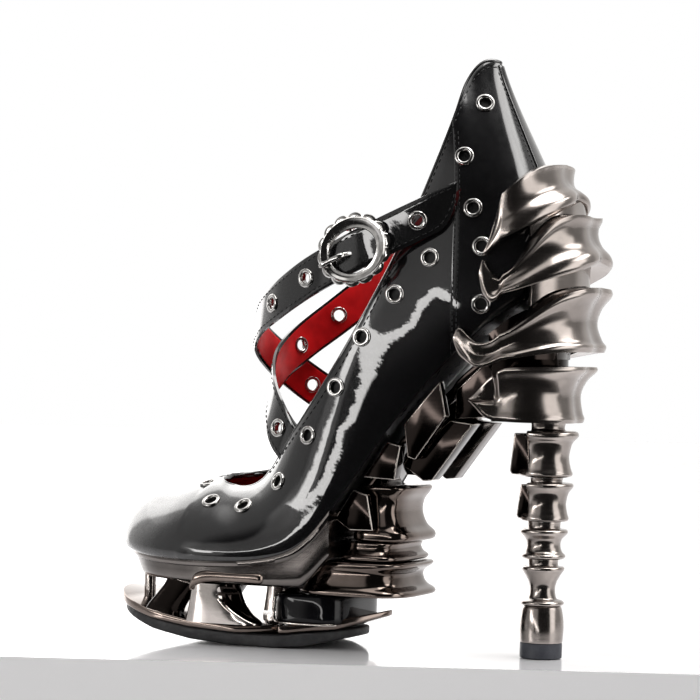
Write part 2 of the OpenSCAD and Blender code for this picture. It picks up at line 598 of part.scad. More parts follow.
vamp();
quarter_outer();
quarter_inner();
heel_counter();
lining();
insole_board();
sock();
steel_shank();
strap_a();
strap_b();
strap_anchor();
eyelets_vamp();
eyelets_quarter_outer();
eyelets_quarter_inner();
eyelets_counter();
eyelets_strap_a();
eyelets_strap_b();
buckle_frame();
buckle_bar();
buckle_prong();
platform_deck();
front_strut_outer();
front_strut_inner();
mid_strut_outer();
mid_strut_inner();
toe_posts();
base_plate();
core_block();
rear_flange_lower();
rear_flange_upper();
arch_vertebra();
outsole();
arch_fairing();
arch_block_lower();
arch_block_middle();
arch_block_upper();
arch_bar_outer();
arch_bar_inner();
arch_link();
heel_core();
heel_rod();
heel_plate_1();
heel_plate_2();
heel_plate_3();
heel_plate_4();
heel_neck_upper();
heel_neck_lower();
fin_vertebra_upper();
fin_vertebra_lower();
spool_upper();
spool_lower();
heel_barrel();
top_lift();
seat_screws();
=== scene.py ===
"""Looks of the high-heel platform shoe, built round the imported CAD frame.

Lengths are in millimetres in the tables and helpers, and in metres in Blender.
Toe toward -X, outer side toward -Y, floor at Z = 0.
"""

import json
import math
from contextlib import contextmanager

import bmesh
import bpy
import numpy as np
from mathutils import Matrix, Vector

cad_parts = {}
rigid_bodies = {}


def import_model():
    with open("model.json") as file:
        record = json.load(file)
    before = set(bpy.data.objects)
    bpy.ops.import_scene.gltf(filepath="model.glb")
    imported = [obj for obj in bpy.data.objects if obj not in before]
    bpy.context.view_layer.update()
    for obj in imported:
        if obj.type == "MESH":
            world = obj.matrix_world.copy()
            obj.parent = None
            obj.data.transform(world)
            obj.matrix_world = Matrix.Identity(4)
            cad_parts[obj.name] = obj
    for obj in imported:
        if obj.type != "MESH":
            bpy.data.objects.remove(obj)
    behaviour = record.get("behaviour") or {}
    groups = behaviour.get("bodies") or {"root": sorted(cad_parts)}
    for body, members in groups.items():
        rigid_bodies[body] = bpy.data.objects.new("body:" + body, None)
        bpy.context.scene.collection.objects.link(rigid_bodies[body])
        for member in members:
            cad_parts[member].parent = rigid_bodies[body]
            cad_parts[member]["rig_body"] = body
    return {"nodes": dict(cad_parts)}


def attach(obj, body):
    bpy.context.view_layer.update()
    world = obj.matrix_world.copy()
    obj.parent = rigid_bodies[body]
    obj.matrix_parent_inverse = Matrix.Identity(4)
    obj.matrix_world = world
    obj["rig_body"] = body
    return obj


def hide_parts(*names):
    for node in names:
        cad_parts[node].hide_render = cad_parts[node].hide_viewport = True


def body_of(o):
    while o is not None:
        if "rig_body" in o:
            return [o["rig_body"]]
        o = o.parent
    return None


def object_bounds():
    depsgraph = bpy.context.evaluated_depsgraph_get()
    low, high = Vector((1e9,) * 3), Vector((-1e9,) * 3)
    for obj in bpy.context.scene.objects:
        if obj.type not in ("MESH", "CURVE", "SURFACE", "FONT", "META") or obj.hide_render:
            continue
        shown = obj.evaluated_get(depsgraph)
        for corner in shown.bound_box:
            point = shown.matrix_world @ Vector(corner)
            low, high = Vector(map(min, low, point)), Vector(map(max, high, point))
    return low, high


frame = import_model()
cad_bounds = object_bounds()
nodes = frame["nodes"]

MM = 0.001
# Sizes that several pieces share
LEATHER = 1.2
LINING = 0.8
EYELET_D = 8.2
EYELET_BORE = 4.5
STRAP_W = 16.0
STRAP_T = 2.0
HEEL_X = 85.5
SHOE = "shoe"
BOTH = (-1, 1)
SIDES = ((-1, "outer"), (1, "inner"))


# ---------------------------------------------------------------- small maths
def unit(v):
    v = np.asarray(v, float)
    return v / np.maximum(np.linalg.norm(v, axis=-1, keepdims=True), 1e-12)


def bump(t):
    t = np.clip(t, 0, 1)
    return t * t * (3 - 2 * t)


def gauss(x, width):
    return np.exp(-(np.asarray(x, float) / width) ** 2)


def spline(points, u):
    """Smooth curve through the points, at u counted in points."""
    points = np.asarray(points, float)
    u = np.atleast_1d(np.asarray(u, float))
    last = len(points) - 1
    i = np.clip(np.floor(u).astype(int), 0, last - 1)
    t = (u - i).reshape((-1,) + (1,) * (points.ndim - 1))
    p0, p1 = points[np.maximum(i - 1, 0)], points[i]
    p2, p3 = points[i + 1], points[np.minimum(i + 2, last)]
    return 0.5 * (2 * p1 + (p2 - p0) * t + (2 * p0 - 5 * p1 + 4 * p2 - p3) * t * t
                  + (3 * p1 - p0 - 3 * p2 + p3) * t ** 3)


def circle_angles(count):
    return np.arange(count) * 2 * math.pi / count


def across(direction):
    """Two directions square to the given one and to each other."""
    side = unit(np.cross(direction, [0.3, 0.2, 0.93]))
    return side, np.cross(direction, side)


def run_length(path):
    """Distance along a path to each of its points."""
    return np.concatenate([[0], np.cumsum(np.linalg.norm(np.diff(path, axis=0), axis=1))])


# ---------------------------------------------------------------- mesh helpers
def new_object(name, data, body=None):
    obj = bpy.data.objects.new(name, data)
    bpy.context.scene.collection.objects.link(obj)
    if body:
        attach(obj, body)
    return obj


def discard(obj):
    mesh = obj.data
    bpy.data.objects.remove(obj)
    bpy.data.meshes.remove(mesh)


def stand_for(obj, node):
    """Shows the piece in place of a CAD node."""
    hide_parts(node)


def add_mesh(name, verts, faces, *materials, body=SHOE, face_materials=None):
    """A new piece from points in millimetres."""
    mesh = bpy.data.meshes.new(name)
    mesh.from_pydata([tuple(p) for p in np.asarray(verts, float) * MM], [], [tuple(map(int, f)) for f in faces])
    for material in materials:
        mesh.materials.append(material)
    if face_materials is not None:
        mesh.polygons.foreach_set("material_index", np.asarray(face_materials, np.int32))
    return new_object(name, mesh, body)


@contextmanager
def editing(mesh):
    """Opens a mesh for editing and writes it back."""
    bm = bmesh.new()
    bm.from_mesh(mesh)
    yield bm
    bm.to_mesh(mesh)
    bm.free()


def clean(obj, merge=0.02, recalc=True):
    """Merges doubled points (mm) and turns every face outward."""
    with editing(obj.data) as bm:
        bmesh.ops.remove_doubles(bm, verts=bm.verts, dist=merge * MM)
        bmesh.ops.dissolve_degenerate(bm, edges=bm.edges, dist=1e-7)
        if recalc:
            bmesh.ops.recalc_face_normals(bm, faces=bm.faces)
    return obj


def modify(obj, kind, **values):
    modifier = obj.modifiers.new(kind.lower(), kind)
    for key, value in values.items():
        setattr(modifier, key, value)


def apply_modifiers(obj):
    graph = bpy.context.evaluated_depsgraph_get()
    mesh = bpy.data.meshes.new_from_object(obj.evaluated_get(graph), depsgraph=graph)
    obj.modifiers.clear()
    old = obj.data
    obj.data = mesh
    bpy.data.meshes.remove(old)


def shade(obj, angle=38):
    """Smooth shading, with edges sharper than the angle kept crisp."""
    mesh = obj.data
    mesh.polygons.foreach_set("use_smooth", [True] * len(mesh.polygons))
    mesh.set_sharp_from_angle(angle=math.radians(angle))
    return obj


def bevel(obj, width, segments=2, angle=30, edge_material=-1):
    modify(obj, "BEVEL", width=width * MM, segments=segments, limit_method="ANGLE",
           angle_limit=math.radians(angle), material=edge_material, use_clamp_overlap=True,
           harden_normals=False, miter_outer="MITER_ARC")
    apply_modifiers(obj)


def grid_faces(rows, columns, close_rows=False, close_columns=False, start=0):
    """Quads of a grid whose point (i, j) is number start + i * columns + j."""
    faces = []
    for i in range(rows if close_rows else rows - 1):
        for j in range(columns if close_columns else columns - 1):
            k, m = (i + 1) % rows, (j + 1) % columns
            faces.append((start + i * columns + j, start + i * columns + m,
                          start + k * columns + m, start + k * columns + j))
    return faces


def capped_faces(rows, columns, start=0):
    """The wall through closed rings of points, and its two end caps."""
    first, last = start, start + (rows - 1) * columns
    return grid_faces(rows, columns, close_columns=True, start=start) + [
        tuple(range(first, first + columns))[::-1], tuple(range(last, last + columns))]


def loft(name, rings, *materials, body=SHOE, closed=False, edge=0.0, angle=30, edge_material=-1):
    """A solid through closed rings of points; all rings have the same count."""
    rings = np.asarray(rings, float)
    count, size = rings.shape[:2]
    faces = grid_faces(count, size, True, True) if closed else capped_faces(count, size)
    obj = clean(add_mesh(name, rings.reshape(-1, 3), faces, *materials, body=body))
    if edge:
        bevel(obj, edge, 3, angle, edge_material)
    return shade(obj)


def rounded_ring(centre, ax, ay, count=48, power=3.0):
    """A ring between an ellipse (power 2) and a box (large power)."""
    t = circle_angles(count)
    c, s = np.cos(t), np.sin(t)
    x = np.sign(c) * np.abs(c) ** (2 / power)
    y = np.sign(s) * np.abs(s) ** (2 / power)
    return np.asarray(centre, float) + np.outer(x, ax) + np.outer(y, ay)


def smooth_rings(rings, steps):
    """More rings between the given ones, on smooth curves."""
    rings = np.asarray(rings, float)
    return spline(rings, np.linspace(0, len(rings) - 1, steps))


def turn_profile(profile, count, x=0.0):
    """Closed loop rings round an upright axis from [radius, z] points."""
    return [[(x + r * math.cos(a), r * math.sin(a), z) for r, z in profile] for a in circle_angles(count)]


def frames_along(path, outward):
    """Outward and side directions along a path."""
    tangent = unit(np.gradient(path, axis=0))
    out = unit(outward - tangent * np.sum(outward * tangent, axis=-1, keepdims=True))
    return out, np.cross(out, tangent)


def tube(name, path, outward, half_out, half_side, material, closed=False):
    """A rounded band swept along a path."""
    out, side = frames_along(path, outward)
    t = circle_angles(12)
    half_out = np.broadcast_to(half_out, len(path))[:, None, None]
    half_side = np.broadcast_to(half_side, len(path))[:, None, None]
    rings = (path[:, None, :] + out[:, None, :] * np.cos(t)[None, :, None] * half_out
             + side[:, None, :] * np.sin(t)[None, :, None] * half_side)
    return loft(name, rings, material, closed=closed)


def join(name, parts):
    """One piece from several, with their materials kept."""
    bm = bmesh.new()
    materials = []
    for part in parts:
        for material in part.data.materials:
            if material not in materials:
                materials.append(material)
    for part in parts:
        start = len(bm.faces)
        bm.from_mesh(part.data)
        bm.faces.ensure_lookup_table()
        local = [materials.index(m) for m in part.data.materials] or [0]
        for face in bm.faces[start:]:
            face.material_index = local[min(face.material_index, len(local) - 1)]
    mesh = bpy.data.meshes.new(name)
    bm.to_mesh(mesh)
    bm.free()
    for material in materials:
        mesh.materials.append(material)
    body = body_of(parts[0])[0]
    for part in parts:
        discard(part)
    return shade(new_object(name, mesh, body))


def refined(node, material, width, edge=None):
    """A copy of a CAD node with its edges rounded, standing for it."""
    mesh = nodes[node].data.copy()
    mesh.materials.clear()
    mesh.materials.append(material)
    # The second material goes on the bevelled edges, as a painted highlight
    if edge:
        mesh.materials.append(edge)
    mesh.polygons.foreach_set("material_index", [0] * len(mesh.polygons))
    with editing(mesh) as bm:
        bmesh.ops.remove_doubles(bm, verts=bm.verts, dist=1e-6)
        bmesh.ops.dissolve_limit(bm, angle_limit=math.radians(1.5), verts=bm.verts, edges=bm.edges)
        bmesh.ops.recalc_face_normals(bm, faces=bm.faces)
    obj = new_object(node + "_finished", mesh, SHOE)
    if width:
        bevel(obj, width, 3, 34, 1 if edge else -1)
    stand_for(shade(obj), node)


def drill(obj, places, radius, reach=6.0, count=28):
    """Cuts round holes through a piece at places [(point, direction), ...]."""
    verts, faces = [], []
    t = circle_angles(count)
    for point, direction in places:
        direction = unit(direction)
        side, other = across(direction)
        circle = radius * (np.outer(np.cos(t), side) + np.outer(np.sin(t), other))
        faces += capped_faces(2, count, len(verts))
        for end in (-reach, reach):
            verts.extend(np.asarray(point, float) + direction * end + circle)
    cutter = clean(add_mesh("cutter", verts, faces, body=None))
    modify(obj, "BOOLEAN", operation="DIFFERENCE", object=cutter, solver="EXACT")
    apply_modifiers(obj)
    discard(cutter)


# ---------------------------------------------------------------- node helpers
NOISE_LOW, NOISE_HIGH = 0.3, 0.7    # nearly all of a noise lies between these


class Nodes:
    """A short way to write nodes."""

    def __init__(self, tree):
        self.tree = tree

    def add(self, kind, inputs=None, **values):
        node = self.tree.nodes.new(kind)
        for key, value in values.items():
            setattr(node, key, value)
        for key, value in (inputs or {}).items():
            if isinstance(value, bpy.types.NodeSocket):
                self.tree.links.new(value, node.inputs[key])
            else:
                node.inputs[key].default_value = value
        return node

    def math(self, operation, *terms):
        return self.add("ShaderNodeMath", dict(enumerate(terms)), operation=operation).outputs[0]


class Shader(Nodes):
    """A material on the piece's own coordinates."""

    def __init__(self, name, **values):
        self.material = bpy.data.materials.new(name)
        self.material.use_nodes = True
        super().__init__(self.material.node_tree)
        self.bsdf = self.tree.nodes["Principled BSDF"]
        self.place = self.add("ShaderNodeTexCoord").outputs["Object"]
        for key, value in values.items():
            self.bsdf.inputs[key.replace("_", " ")].default_value = value

    def stretched(self, scale):
        return self.add("ShaderNodeMapping", {"Vector": self.place, "Scale": scale}).outputs["Vector"]

    def noise(self, scale, detail=3.0, roughness=0.5, vector=None):
        return self.add("ShaderNodeTexNoise", {"Vector": vector or self.place, "Scale": scale,
                                               "Detail": detail, "Roughness": roughness}).outputs["Fac"]

    def cells(self, scale):
        return self.add("ShaderNodeTexVoronoi", {"Vector": self.place, "Scale": scale}).outputs["Distance"]

    def remap(self, value, low, high, to_low, to_high):
        return self.add("ShaderNodeMapRange", {"Value": value, "From Min": low, "From Max": high,
                                               "To Min": to_low, "To Max": to_high}).outputs["Result"]

    def ramp(self, value, *stops):
        node = self.add("ShaderNodeValToRGB", {"Fac": value})
        elements = node.color_ramp.elements
        while len(elements) < len(stops):
            elements.new(0.5)
        for element, (place, colour) in zip(elements, stops):
            element.position = place
            element.color = (*colour, 1)
        return node.outputs["Color"]

    def tint(self, tone, dark, light, low=NOISE_LOW, high=NOISE_HIGH):
        self.link(self.ramp(tone, (low, dark), (high, light)), "Base Color")

    def rough(self, tone, low, high):
        self.link(self.remap(tone, NOISE_LOW, NOISE_HIGH, low, high), "Roughness")

    def height(self, *layers):
        """Bump from (height, strength, distance in mm) layers."""
        normal = None
        for value, strength, distance in layers:
            inputs = {"Height": value, "Strength": strength, "Distance": distance * MM}
            if normal:
                inputs["Normal"] = normal
            normal = self.add("ShaderNodeBump", inputs).outputs["Normal"]
        self.link(normal, "Normal")
        return normal

    def link(self, value, name):
        self.tree.links.new(value, self.bsdf.inputs[name])


def patent_leather(name, base, grain=1.0):
    sh = Shader(name, Coat_Weight=1.0, Coat_Roughness=0.015, Coat_IOR=1.6, Specular_IOR_Level=0.12)
    sh.tint(sh.noise(60, 3), tuple(c * 0.7 for c in base), tuple(c * 1.4 for c in base))
    sh.rough(sh.noise(400, 4), 0.22, 0.34)
    waves = sh.noise(40, 1.5, 0.4)
    pull = sh.noise(220, 2)
    pores = sh.cells(1500)
    normal = sh.height((waves, 0.45, 0.7 * grain), (pull, 0.25, 0.1 * grain), (pores, 0.06, 0.02 * grain))
    sh.tree.links.new(normal, sh.bsdf.inputs["Coat Normal"])
    return sh.material


def satin_leather(name, dark, light):
    sh = Shader(name, Coat_Weight=0.15, Coat_Roughness=0.3, Specular_IOR_Level=0.25)
    sh.tint(sh.noise(90, 4), dark, light)
    sh.rough(sh.noise(300, 3), 0.34, 0.5)
    sh.height((sh.cells(900), 0.25, 0.05), (sh.noise(120, 3), 0.3, 0.15))
    return sh.material


def plated_metal(name, dark, light, rough, brushing=0.06, ripple=0.12):
    """Plating with brushed streaks, soft clouding, and sharp edges painted lighter as a highlight."""
    sh = Shader(name, Metallic=1.0)
    streaks = sh.noise(1.0, 2, vector=sh.stretched((30, 30, 900)))
    clouds = sh.noise(45, 4, 0.6)
    # Painted highlight: sharp edges are painted lighter, from the pointiness of the surface
    edge_sharpness = sh.add("ShaderNodeNewGeometry").outputs["Pointiness"]
    edge = sh.remap(edge_sharpness, 0.49, 0.56, 0.0, 1.0)
    tone = sh.math("ADD", sh.math("MULTIPLY", clouds, 0.6), sh.math("MULTIPLY", edge, 0.5))
    sh.tint(tone, dark, light, 0.15, 0.6)
    sh.rough(sh.math("ADD", sh.math("MULTIPLY", streaks, 0.5), sh.math("MULTIPLY", clouds, 0.5)), *rough)
    sh.height((streaks, 0.25, brushing), (sh.noise(90, 2), 0.2, ripple))
    return sh.material


def nickel_plate(name):
    sh = Shader(name, Metallic=1.0)
    sh.tint(sh.noise(300, 4), (0.36, 0.35, 0.34), (0.6, 0.59, 0.575))
    sh.rough(sh.noise(700, 3), 0.07, 0.2)
    sh.height((sh.noise(900, 3), 0.15, 0.02))
    return sh.material


def gloss_plastic(name):
    sh = Shader(name, Base_Color=(0.003, 0.003, 0.004, 1), Coat_Weight=0.4, Coat_Roughness=0.015,
                Specular_IOR_Level=0.05)
    sh.rough(sh.noise(200, 3), 0.08, 0.2)
    sh.height((sh.noise(70, 2), 0.2, 0.02))
    return sh.material


def black_rubber(name, dark, light):
    sh = Shader(name, Specular_IOR_Level=0.35)
    sh.tint(sh.noise(150, 5, 0.65), dark, light, high=0.75)
    sh.rough(sh.noise(500, 3), 0.42, 0.65)
    sh.height((sh.noise(1400, 3), 0.4, 0.04))
    return sh.material


def waxed_thread(name):
    sh = Shader(name, Base_Color=(0.004, 0.004, 0.0045, 1), Specular_IOR_Level=0.3)
    sh.rough(sh.noise(2500, 2), 0.35, 0.55)
    sh.height((sh.noise(3000, 2), 0.5, 0.05))
    return sh.material


def fibre_board(name):
    sh = Shader(name)
    sh.tint(sh.noise(700, 5), (0.004, 0.004, 0.004), (0.012, 0.011, 0.01))
    sh.rough(sh.noise(300, 2), 0.25, 0.4)
    sh.height((sh.noise(500, 3), 0.3, 0.05))
    return sh.material


PATENT = patent_leather("patent_leather", (0.004, 0.004, 0.0045))
PATENT_STRAP = patent_leather("patent_strap", (0.007, 0.007, 0.0075), 0.7)
RED = satin_leather("red_strap_lining", (0.36, 0.003, 0.005), (0.74, 0.012, 0.015))
# Lining and sock: a darker copy of the strap's red leather, painted shade for the shadowed inside of the shoe
SHADED_RED_LINING = satin_leather("red_lining", (0.17, 0.002, 0.004), (0.32, 0.006, 0.009))
GUNMETAL = plated_metal("gunmetal", (0.19, 0.168, 0.155), (0.4, 0.36, 0.335), (0.13, 0.25))
GUNMETAL_SMOOTH = plated_metal("gunmetal_smooth", (0.34, 0.31, 0.29), (0.68, 0.63, 0.6), (0.07, 0.16),
                               brushing=0.02)
BRONZE = plated_metal("bronze_chrome", (0.07, 0.055, 0.047), (0.22, 0.18, 0.16), (0.07, 0.16), brushing=0.02)
DECK_METAL = plated_metal("deck_metal", (0.075, 0.068, 0.064), (0.17, 0.155, 0.147), (0.14, 0.24))
DARK_CHROME = plated_metal("dark_chrome", (0.006, 0.005, 0.0045), (0.024, 0.019, 0.017), (0.05, 0.13),
                           brushing=0.01, ripple=0.015)
# Bright chrome: the beads round the core block, and a painted highlight on the bevelled edges of dark chrome pieces
BEAD_AND_PAINTED_EDGE_HIGHLIGHT = plated_metal("bead_and_painted_edge_highlight", (0.4, 0.36, 0.33), (0.62, 0.57, 0.53), (0.15, 0.3), brushing=0.01)
NICKEL = nickel_plate("nickel")
STEEL = plated_metal("steel", (0.4, 0.4, 0.4), (0.6, 0.6, 0.6), (0.25, 0.4))
BLACK_GLOSS = gloss_plastic("black_gloss")
RUBBER = black_rubber("rubber", (0.012, 0.012, 0.013), (0.035, 0.035, 0.037))
HEEL_RUBBER = black_rubber("heel_rubber", (0.022, 0.024, 0.032), (0.05, 0.053, 0.063))
THREAD = waxed_thread("thread")
# Black sheet behind the leather, painted shade that keeps the eyelet holes dark
SHADE_BACKING = black_rubber("painted_shade_backing", (0.002, 0.002, 0.002), (0.006, 0.006, 0.006))
BOARD = fibre_board("fibre_board")

# ---------------------------------------------------------------- the upper's surface
# Stations round the upper from the toe centre (0) to the back seam (13).
# Each has four points from the sole to the top edge: [x, half width, z].
UPPER = np.array([
    [[-104, 0, 39], [-110.5, 0, 43.5], [-109.6, 0, 53], [-102, 0, 61]],
    [[-99, 16, 37], [-102.5, 19, 43.5], [-99, 14, 56.5], [-91, 0, 65]],
    [[-85, 29, 35.5], [-86, 32, 43], [-83, 25, 57], [-79, 0, 67.5]],
    [[-67, 37, 35], [-67, 40.5, 44], [-66, 31, 60], [-65, 0, 70]],
    [[-46, 41, 35.5], [-46, 43, 46], [-48, 34, 60], [-52, 17, 68.5]],
    [[-25, 40, 37.5], [-26, 42, 49], [-31, 36, 62], [-36, 24, 71.5]],
    [[-7, 37, 45.5], [-10, 40, 59], [-17, 37, 74], [-22, 31, 86]],
    [[12, 33, 73], [7, 37, 85], [0, 37, 98], [-5.5, 34, 107]],
    [[28, 30, 97], [23, 34, 111], [17, 36, 124], [11, 34.5, 133]],
    [[42, 28.5, 114], [39, 33, 131], [35, 34, 156], [32.5, 31, 176]],
    [[52, 28.5, 125], [53, 33, 155], [52.5, 29, 191], [48, 20, 224]],
    [[70, 27, 141], [72, 29, 168], [64, 22, 206], [50.5, 11, 241]],
    [[85, 18, 150], [86, 22, 174], [72, 14, 214], [56, 6, 249.4]],
    [[92, 0, 152.5], [94, 0, 177], [78.5, 0, 211], [62, 0, 249]],
], float)
SEAM = len(UPPER) - 1
RIDGE_END = 3.0
VAMP_END = 5.5
QUARTER_END = 10.0
FINE = 0.02


def fine_table():
    """The stations at a fine pitch, smoothed so that reflections run on without a kink."""
    flip = np.array([1, -1, 1])
    pad = 3
    rows = np.concatenate([UPPER[pad:0:-1] * flip, UPPER, UPPER[-2:-2 - pad:-1] * flip])
    places = np.arange(-pad + 1, SEAM + pad - 1 + FINE / 2, FINE)
    table = spline(rows, places + pad)
    reach = np.arange(-45, 46) * FINE
    kernel = np.exp(-0.5 * (reach / 0.26) ** 2)
    kernel /= kernel.sum()
    flat = table.reshape(len(places), -1)
    smooth = np.stack([np.convolve(flat[:, k], kernel, "same") for k in range(flat.shape[1])], 1)
    keep = np.clip(1.4 - np.abs(places), 0, 1)[:, None] * 0.8
    smooth = smooth * (1 - keep) + flat * keep
    return places, smooth


PLACES, STATIONS = fine_table()


def station_rows(a):
    """The four points of the stations at a, which may lie between two listed ones."""
    a = np.asarray(a, float)
    flat = np.stack([np.interp(a, PLACES, STATIONS[:, k]) for k in range(12)], -1)
    rows = flat.reshape(a.shape + (4, 3))
    # The ridge is closed in front of the throat, and the throat has a round front
    inside = a <= RIDGE_END
    rows[..., 3, 1] = np.where(inside & (a >= 0), 0.0, rows[..., 3, 1])
    front = np.clip(a - RIDGE_END, 0, 1)
    rounded = 16.6 * np.sqrt(1 - (1 - front) ** 2)
    share = bump((a - RIDGE_END - 0.5) / 0.6)
    rows[..., 3, 1] = np.where((a > RIDGE_END) & (a < 4.2), rounded * (1 - share) + rows[..., 3, 1] * share,
                               rows[..., 3, 1])
    return rows


def upper_points(a, h, s):
    """Points of the outer surface: station a, height h from the sole (0) to the top edge (1), side s."""
    a, h = np.broadcast_arrays(np.asarray(a, float), np.asarray(h, float))
    r = station_rows(a)
    # Weights of the cubic through a station's four points
    w = np.stack([-4.5 * (h - 1 / 3) * (h - 2 / 3) * (h - 1), 13.5 * h * (h - 2 / 3) * (h - 1),
                  -13.5 * h * (h - 1 / 3) * (h - 1), 4.5 * h * (h - 1 / 3) * (h - 2 / 3)], -1)
    p = np.sum(r * w[..., None], -2)
    # The forefoot leans and shifts to the inner side; the throat's edge is high there and low on the outer side
    lean = 0.27 * bump((8 - np.abs(a)) / 4)
    if s > 0:
        rise = 5 * bump(1 - np.abs(a - 4.8) / 2.2) * h
    else:
        rise = -2.6 * bump(1 - np.abs(a - 4.3) / 1.9) * h ** 4
    shift = 4 * bump(1 - np.abs(a) / 4)
    return np.stack([p[..., 0], s * p[..., 1] + lean * (p[..., 2] - r[..., 0, 2]) + shift, p[..., 2] + rise], -1)


def upper_normals(a, h, s):
    """Outward directions of that surface; at the toe's middle and on the ridge, those just beside."""
    e = 0.02
    a, h = np.broadcast_arrays(np.asarray(a, float), np.asarray(h, float))
    a1 = np.maximum(a, 0.12)
    h1 = np.where(a < 3.2, np.minimum(h, 0.96), h)
    da = upper_points(a1 + e, h1, s) - upper_points(a1 - e, h1, s)
    dh = upper_points(a1, np.minimum(h1 + e, 1), s) - upper_points(a1, np.maximum(h1 - e, 0), s)
    return -s * unit(np.cross(da, dh))


def under(a, h, s, depth):
    """Points below the outer surface by a depth, which may be an array."""
    depth = np.asarray(depth, float)
    depth = depth[..., None] if depth.ndim else depth
    return upper_points(a, h, s) - depth * upper_normals(a, h, s)


# Eyelets of the panels: [station, height]
QUARTER_EYELETS = [[5.65, 0.7], [6.6, 0.73], [7.38, 0.77], [8.07, 0.83], [8.72, 0.72], [9.45, 0.59]]
COUNTER_EYELETS = [[10.67, 0.15], [10.67, 0.39], [10.49, 0.55], [10.3, 0.77], [11.4, 0.85]]
VAMP_EYELETS = [[4.5, 0.64], [3.55, 0.68], [2.95, 0.86]]


def upper_places(spots, sides):
    """Points and outward directions on the upper, for eyelets."""
    return [(under(a, h, s, 0.0), upper_normals(a, h, s)) for s in sides for a, h in spots]


def panel(name, a0, a1, sides, depth, thick, material, per_station=16, heights=44, edge=0.0, span=(0.0, 1.0),
          inside=None):
    """A leather panel: a smooth sheet given its thickness, with rounded edges."""
    n = int(round((a1 - a0) * per_station)) + 1
    av = np.linspace(a0, a1, n)[:, None]
    hv = np.linspace(*span, heights)[None, :]
    verts, faces = [], []
    for s in sides:
        d = depth(av) * np.ones_like(hv) if callable(depth) else np.full((n, heights), float(depth))
        start = len(verts)
        verts.extend(under(av, hv, s, d).reshape(-1, 3))
        quads = grid_faces(n, heights, start=start)
        faces += quads if s > 0 else [q[::-1] for q in quads]
    materials = [material, inside] if inside else [material]
    obj = clean(add_mesh(name, verts, faces, *materials), merge=0.05, recalc=False)
    if a0 == 0 and len(sides) == 2:
        settle_ridge(obj)
    last = len(materials) - 1
    modify(obj, "SOLIDIFY", thickness=thick * MM, offset=-1, use_even_offset=True, use_rim=True,
           material_offset=last, material_offset_rim=last)
    apply_modifiers(obj)
    if edge:
        bevel(obj, edge, 2, 55)
    return obj


def settle_ridge(obj):
    """Irons the fold out of the ridge line, where the two halves meet."""
    ridge = upper_points(np.linspace(0, RIDGE_END, 40), 1.0, 1) * MM
    with editing(obj.data) as bm:
        near = [v for v in bm.verts if not v.is_boundary and v.co.z > 50 * MM
                and np.min(np.linalg.norm(ridge - np.array(v.co), axis=1)) < 7 * MM]
        for _ in range(12):
            bmesh.ops.smooth_vert(bm, verts=near, factor=0.5, use_axis_x=True, use_axis_y=True, use_axis_z=True)


def stitches(name, path, outward, length=2.1, pitch=3.0, radius=0.27):
    """A row of thread stitches along a path."""
    path = np.asarray(path, float)
    outward = unit(outward)
    steps = run_length(path)

    def along(values, at):
        return np.stack([np.interp(at, steps, values[:, i]) for i in range(3)], 1)

    t = circle_angles(6)
    verts, faces = [], []
    for k in range(int(steps[-1] // pitch)):
        at = (k + 0.5) * pitch - length / 2 + length * np.array([0, 0.12, 0.5, 0.88, 1.0])
        pts = along(path, at)
        out = unit(along(outward, at))
        tangent = unit(pts[-1] - pts[0])
        side = unit(np.cross(out, tangent))
        size = radius * np.array([0.35, 0.85, 1.0, 0.85, 0.35])
        sink = radius * np.array([-0.6, 0.0, 0.35, 0.0, -0.6])
        faces += capped_faces(5, 6, len(verts))
        for i in range(5):
            centre = pts[i] + out[i] * sink[i]
            verts.extend(centre + size[i] * (np.outer(np.cos(t), out[i]) + np.outer(np.sin(t), side[i])))
    return shade(clean(add_mesh(name, verts, faces, THREAD), merge=0.001))


def edge_line(a, s, inset):
    """A line on the surface at a distance below the top edge."""
    slope = np.linalg.norm(upper_points(a, 1.0, s) - upper_points(a, 0.97, s), axis=-1) / 0.03
    return 1 - inset / np.maximum(slope, 8)


def counter_lift(a):
    """The counter lies over the quarter at its front edge."""
    return -0.5 * (1 - bump((a - QUARTER_END) / 0.7))


def counter_edge(a):
    """How far the leather stands proud at a station, for what lies on it."""
    return np.where(a >= QUARTER_END, -counter_lift(a), 0.0)


def build_upper():
    hole = EYELET_BORE / 2 + 0.55
    vamp = panel("vamp_leather", 0, VAMP_END, BOTH, 0, LEATHER, PATENT)
    drill(vamp, upper_places(VAMP_EYELETS, BOTH), hole)
    stand_for(shade(vamp), "vamp")
    for s, label in SIDES:
        quarter = panel("quarter_leather_" + label, VAMP_END, QUARTER_END + 0.1, [s], 0, LEATHER, PATENT)
        drill(quarter, upper_places(QUARTER_EYELETS, [s]), hole)
        stand_for(shade(quarter), "quarter_" + label)
    counter = panel("heel_counter_leather", QUARTER_END, SEAM, BOTH, counter_lift, LEATHER, PATENT, edge=0.3)
    drill(counter, upper_places(COUNTER_EYELETS, BOTH), hole)
    stand_for(shade(counter), "heel_counter")
    # A black sheet faces the leather, painted shade so that the eyelets look dark
    # The lining's red inside is the darker copy of the strap's red, painted shade
    lining = panel("lining_leather", 0, SEAM, BOTH, LEATHER + 0.04, LINING, SHADE_BACKING, 12, 34, inside=SHADED_RED_LINING)
    stand_for(shade(lining), "lining")


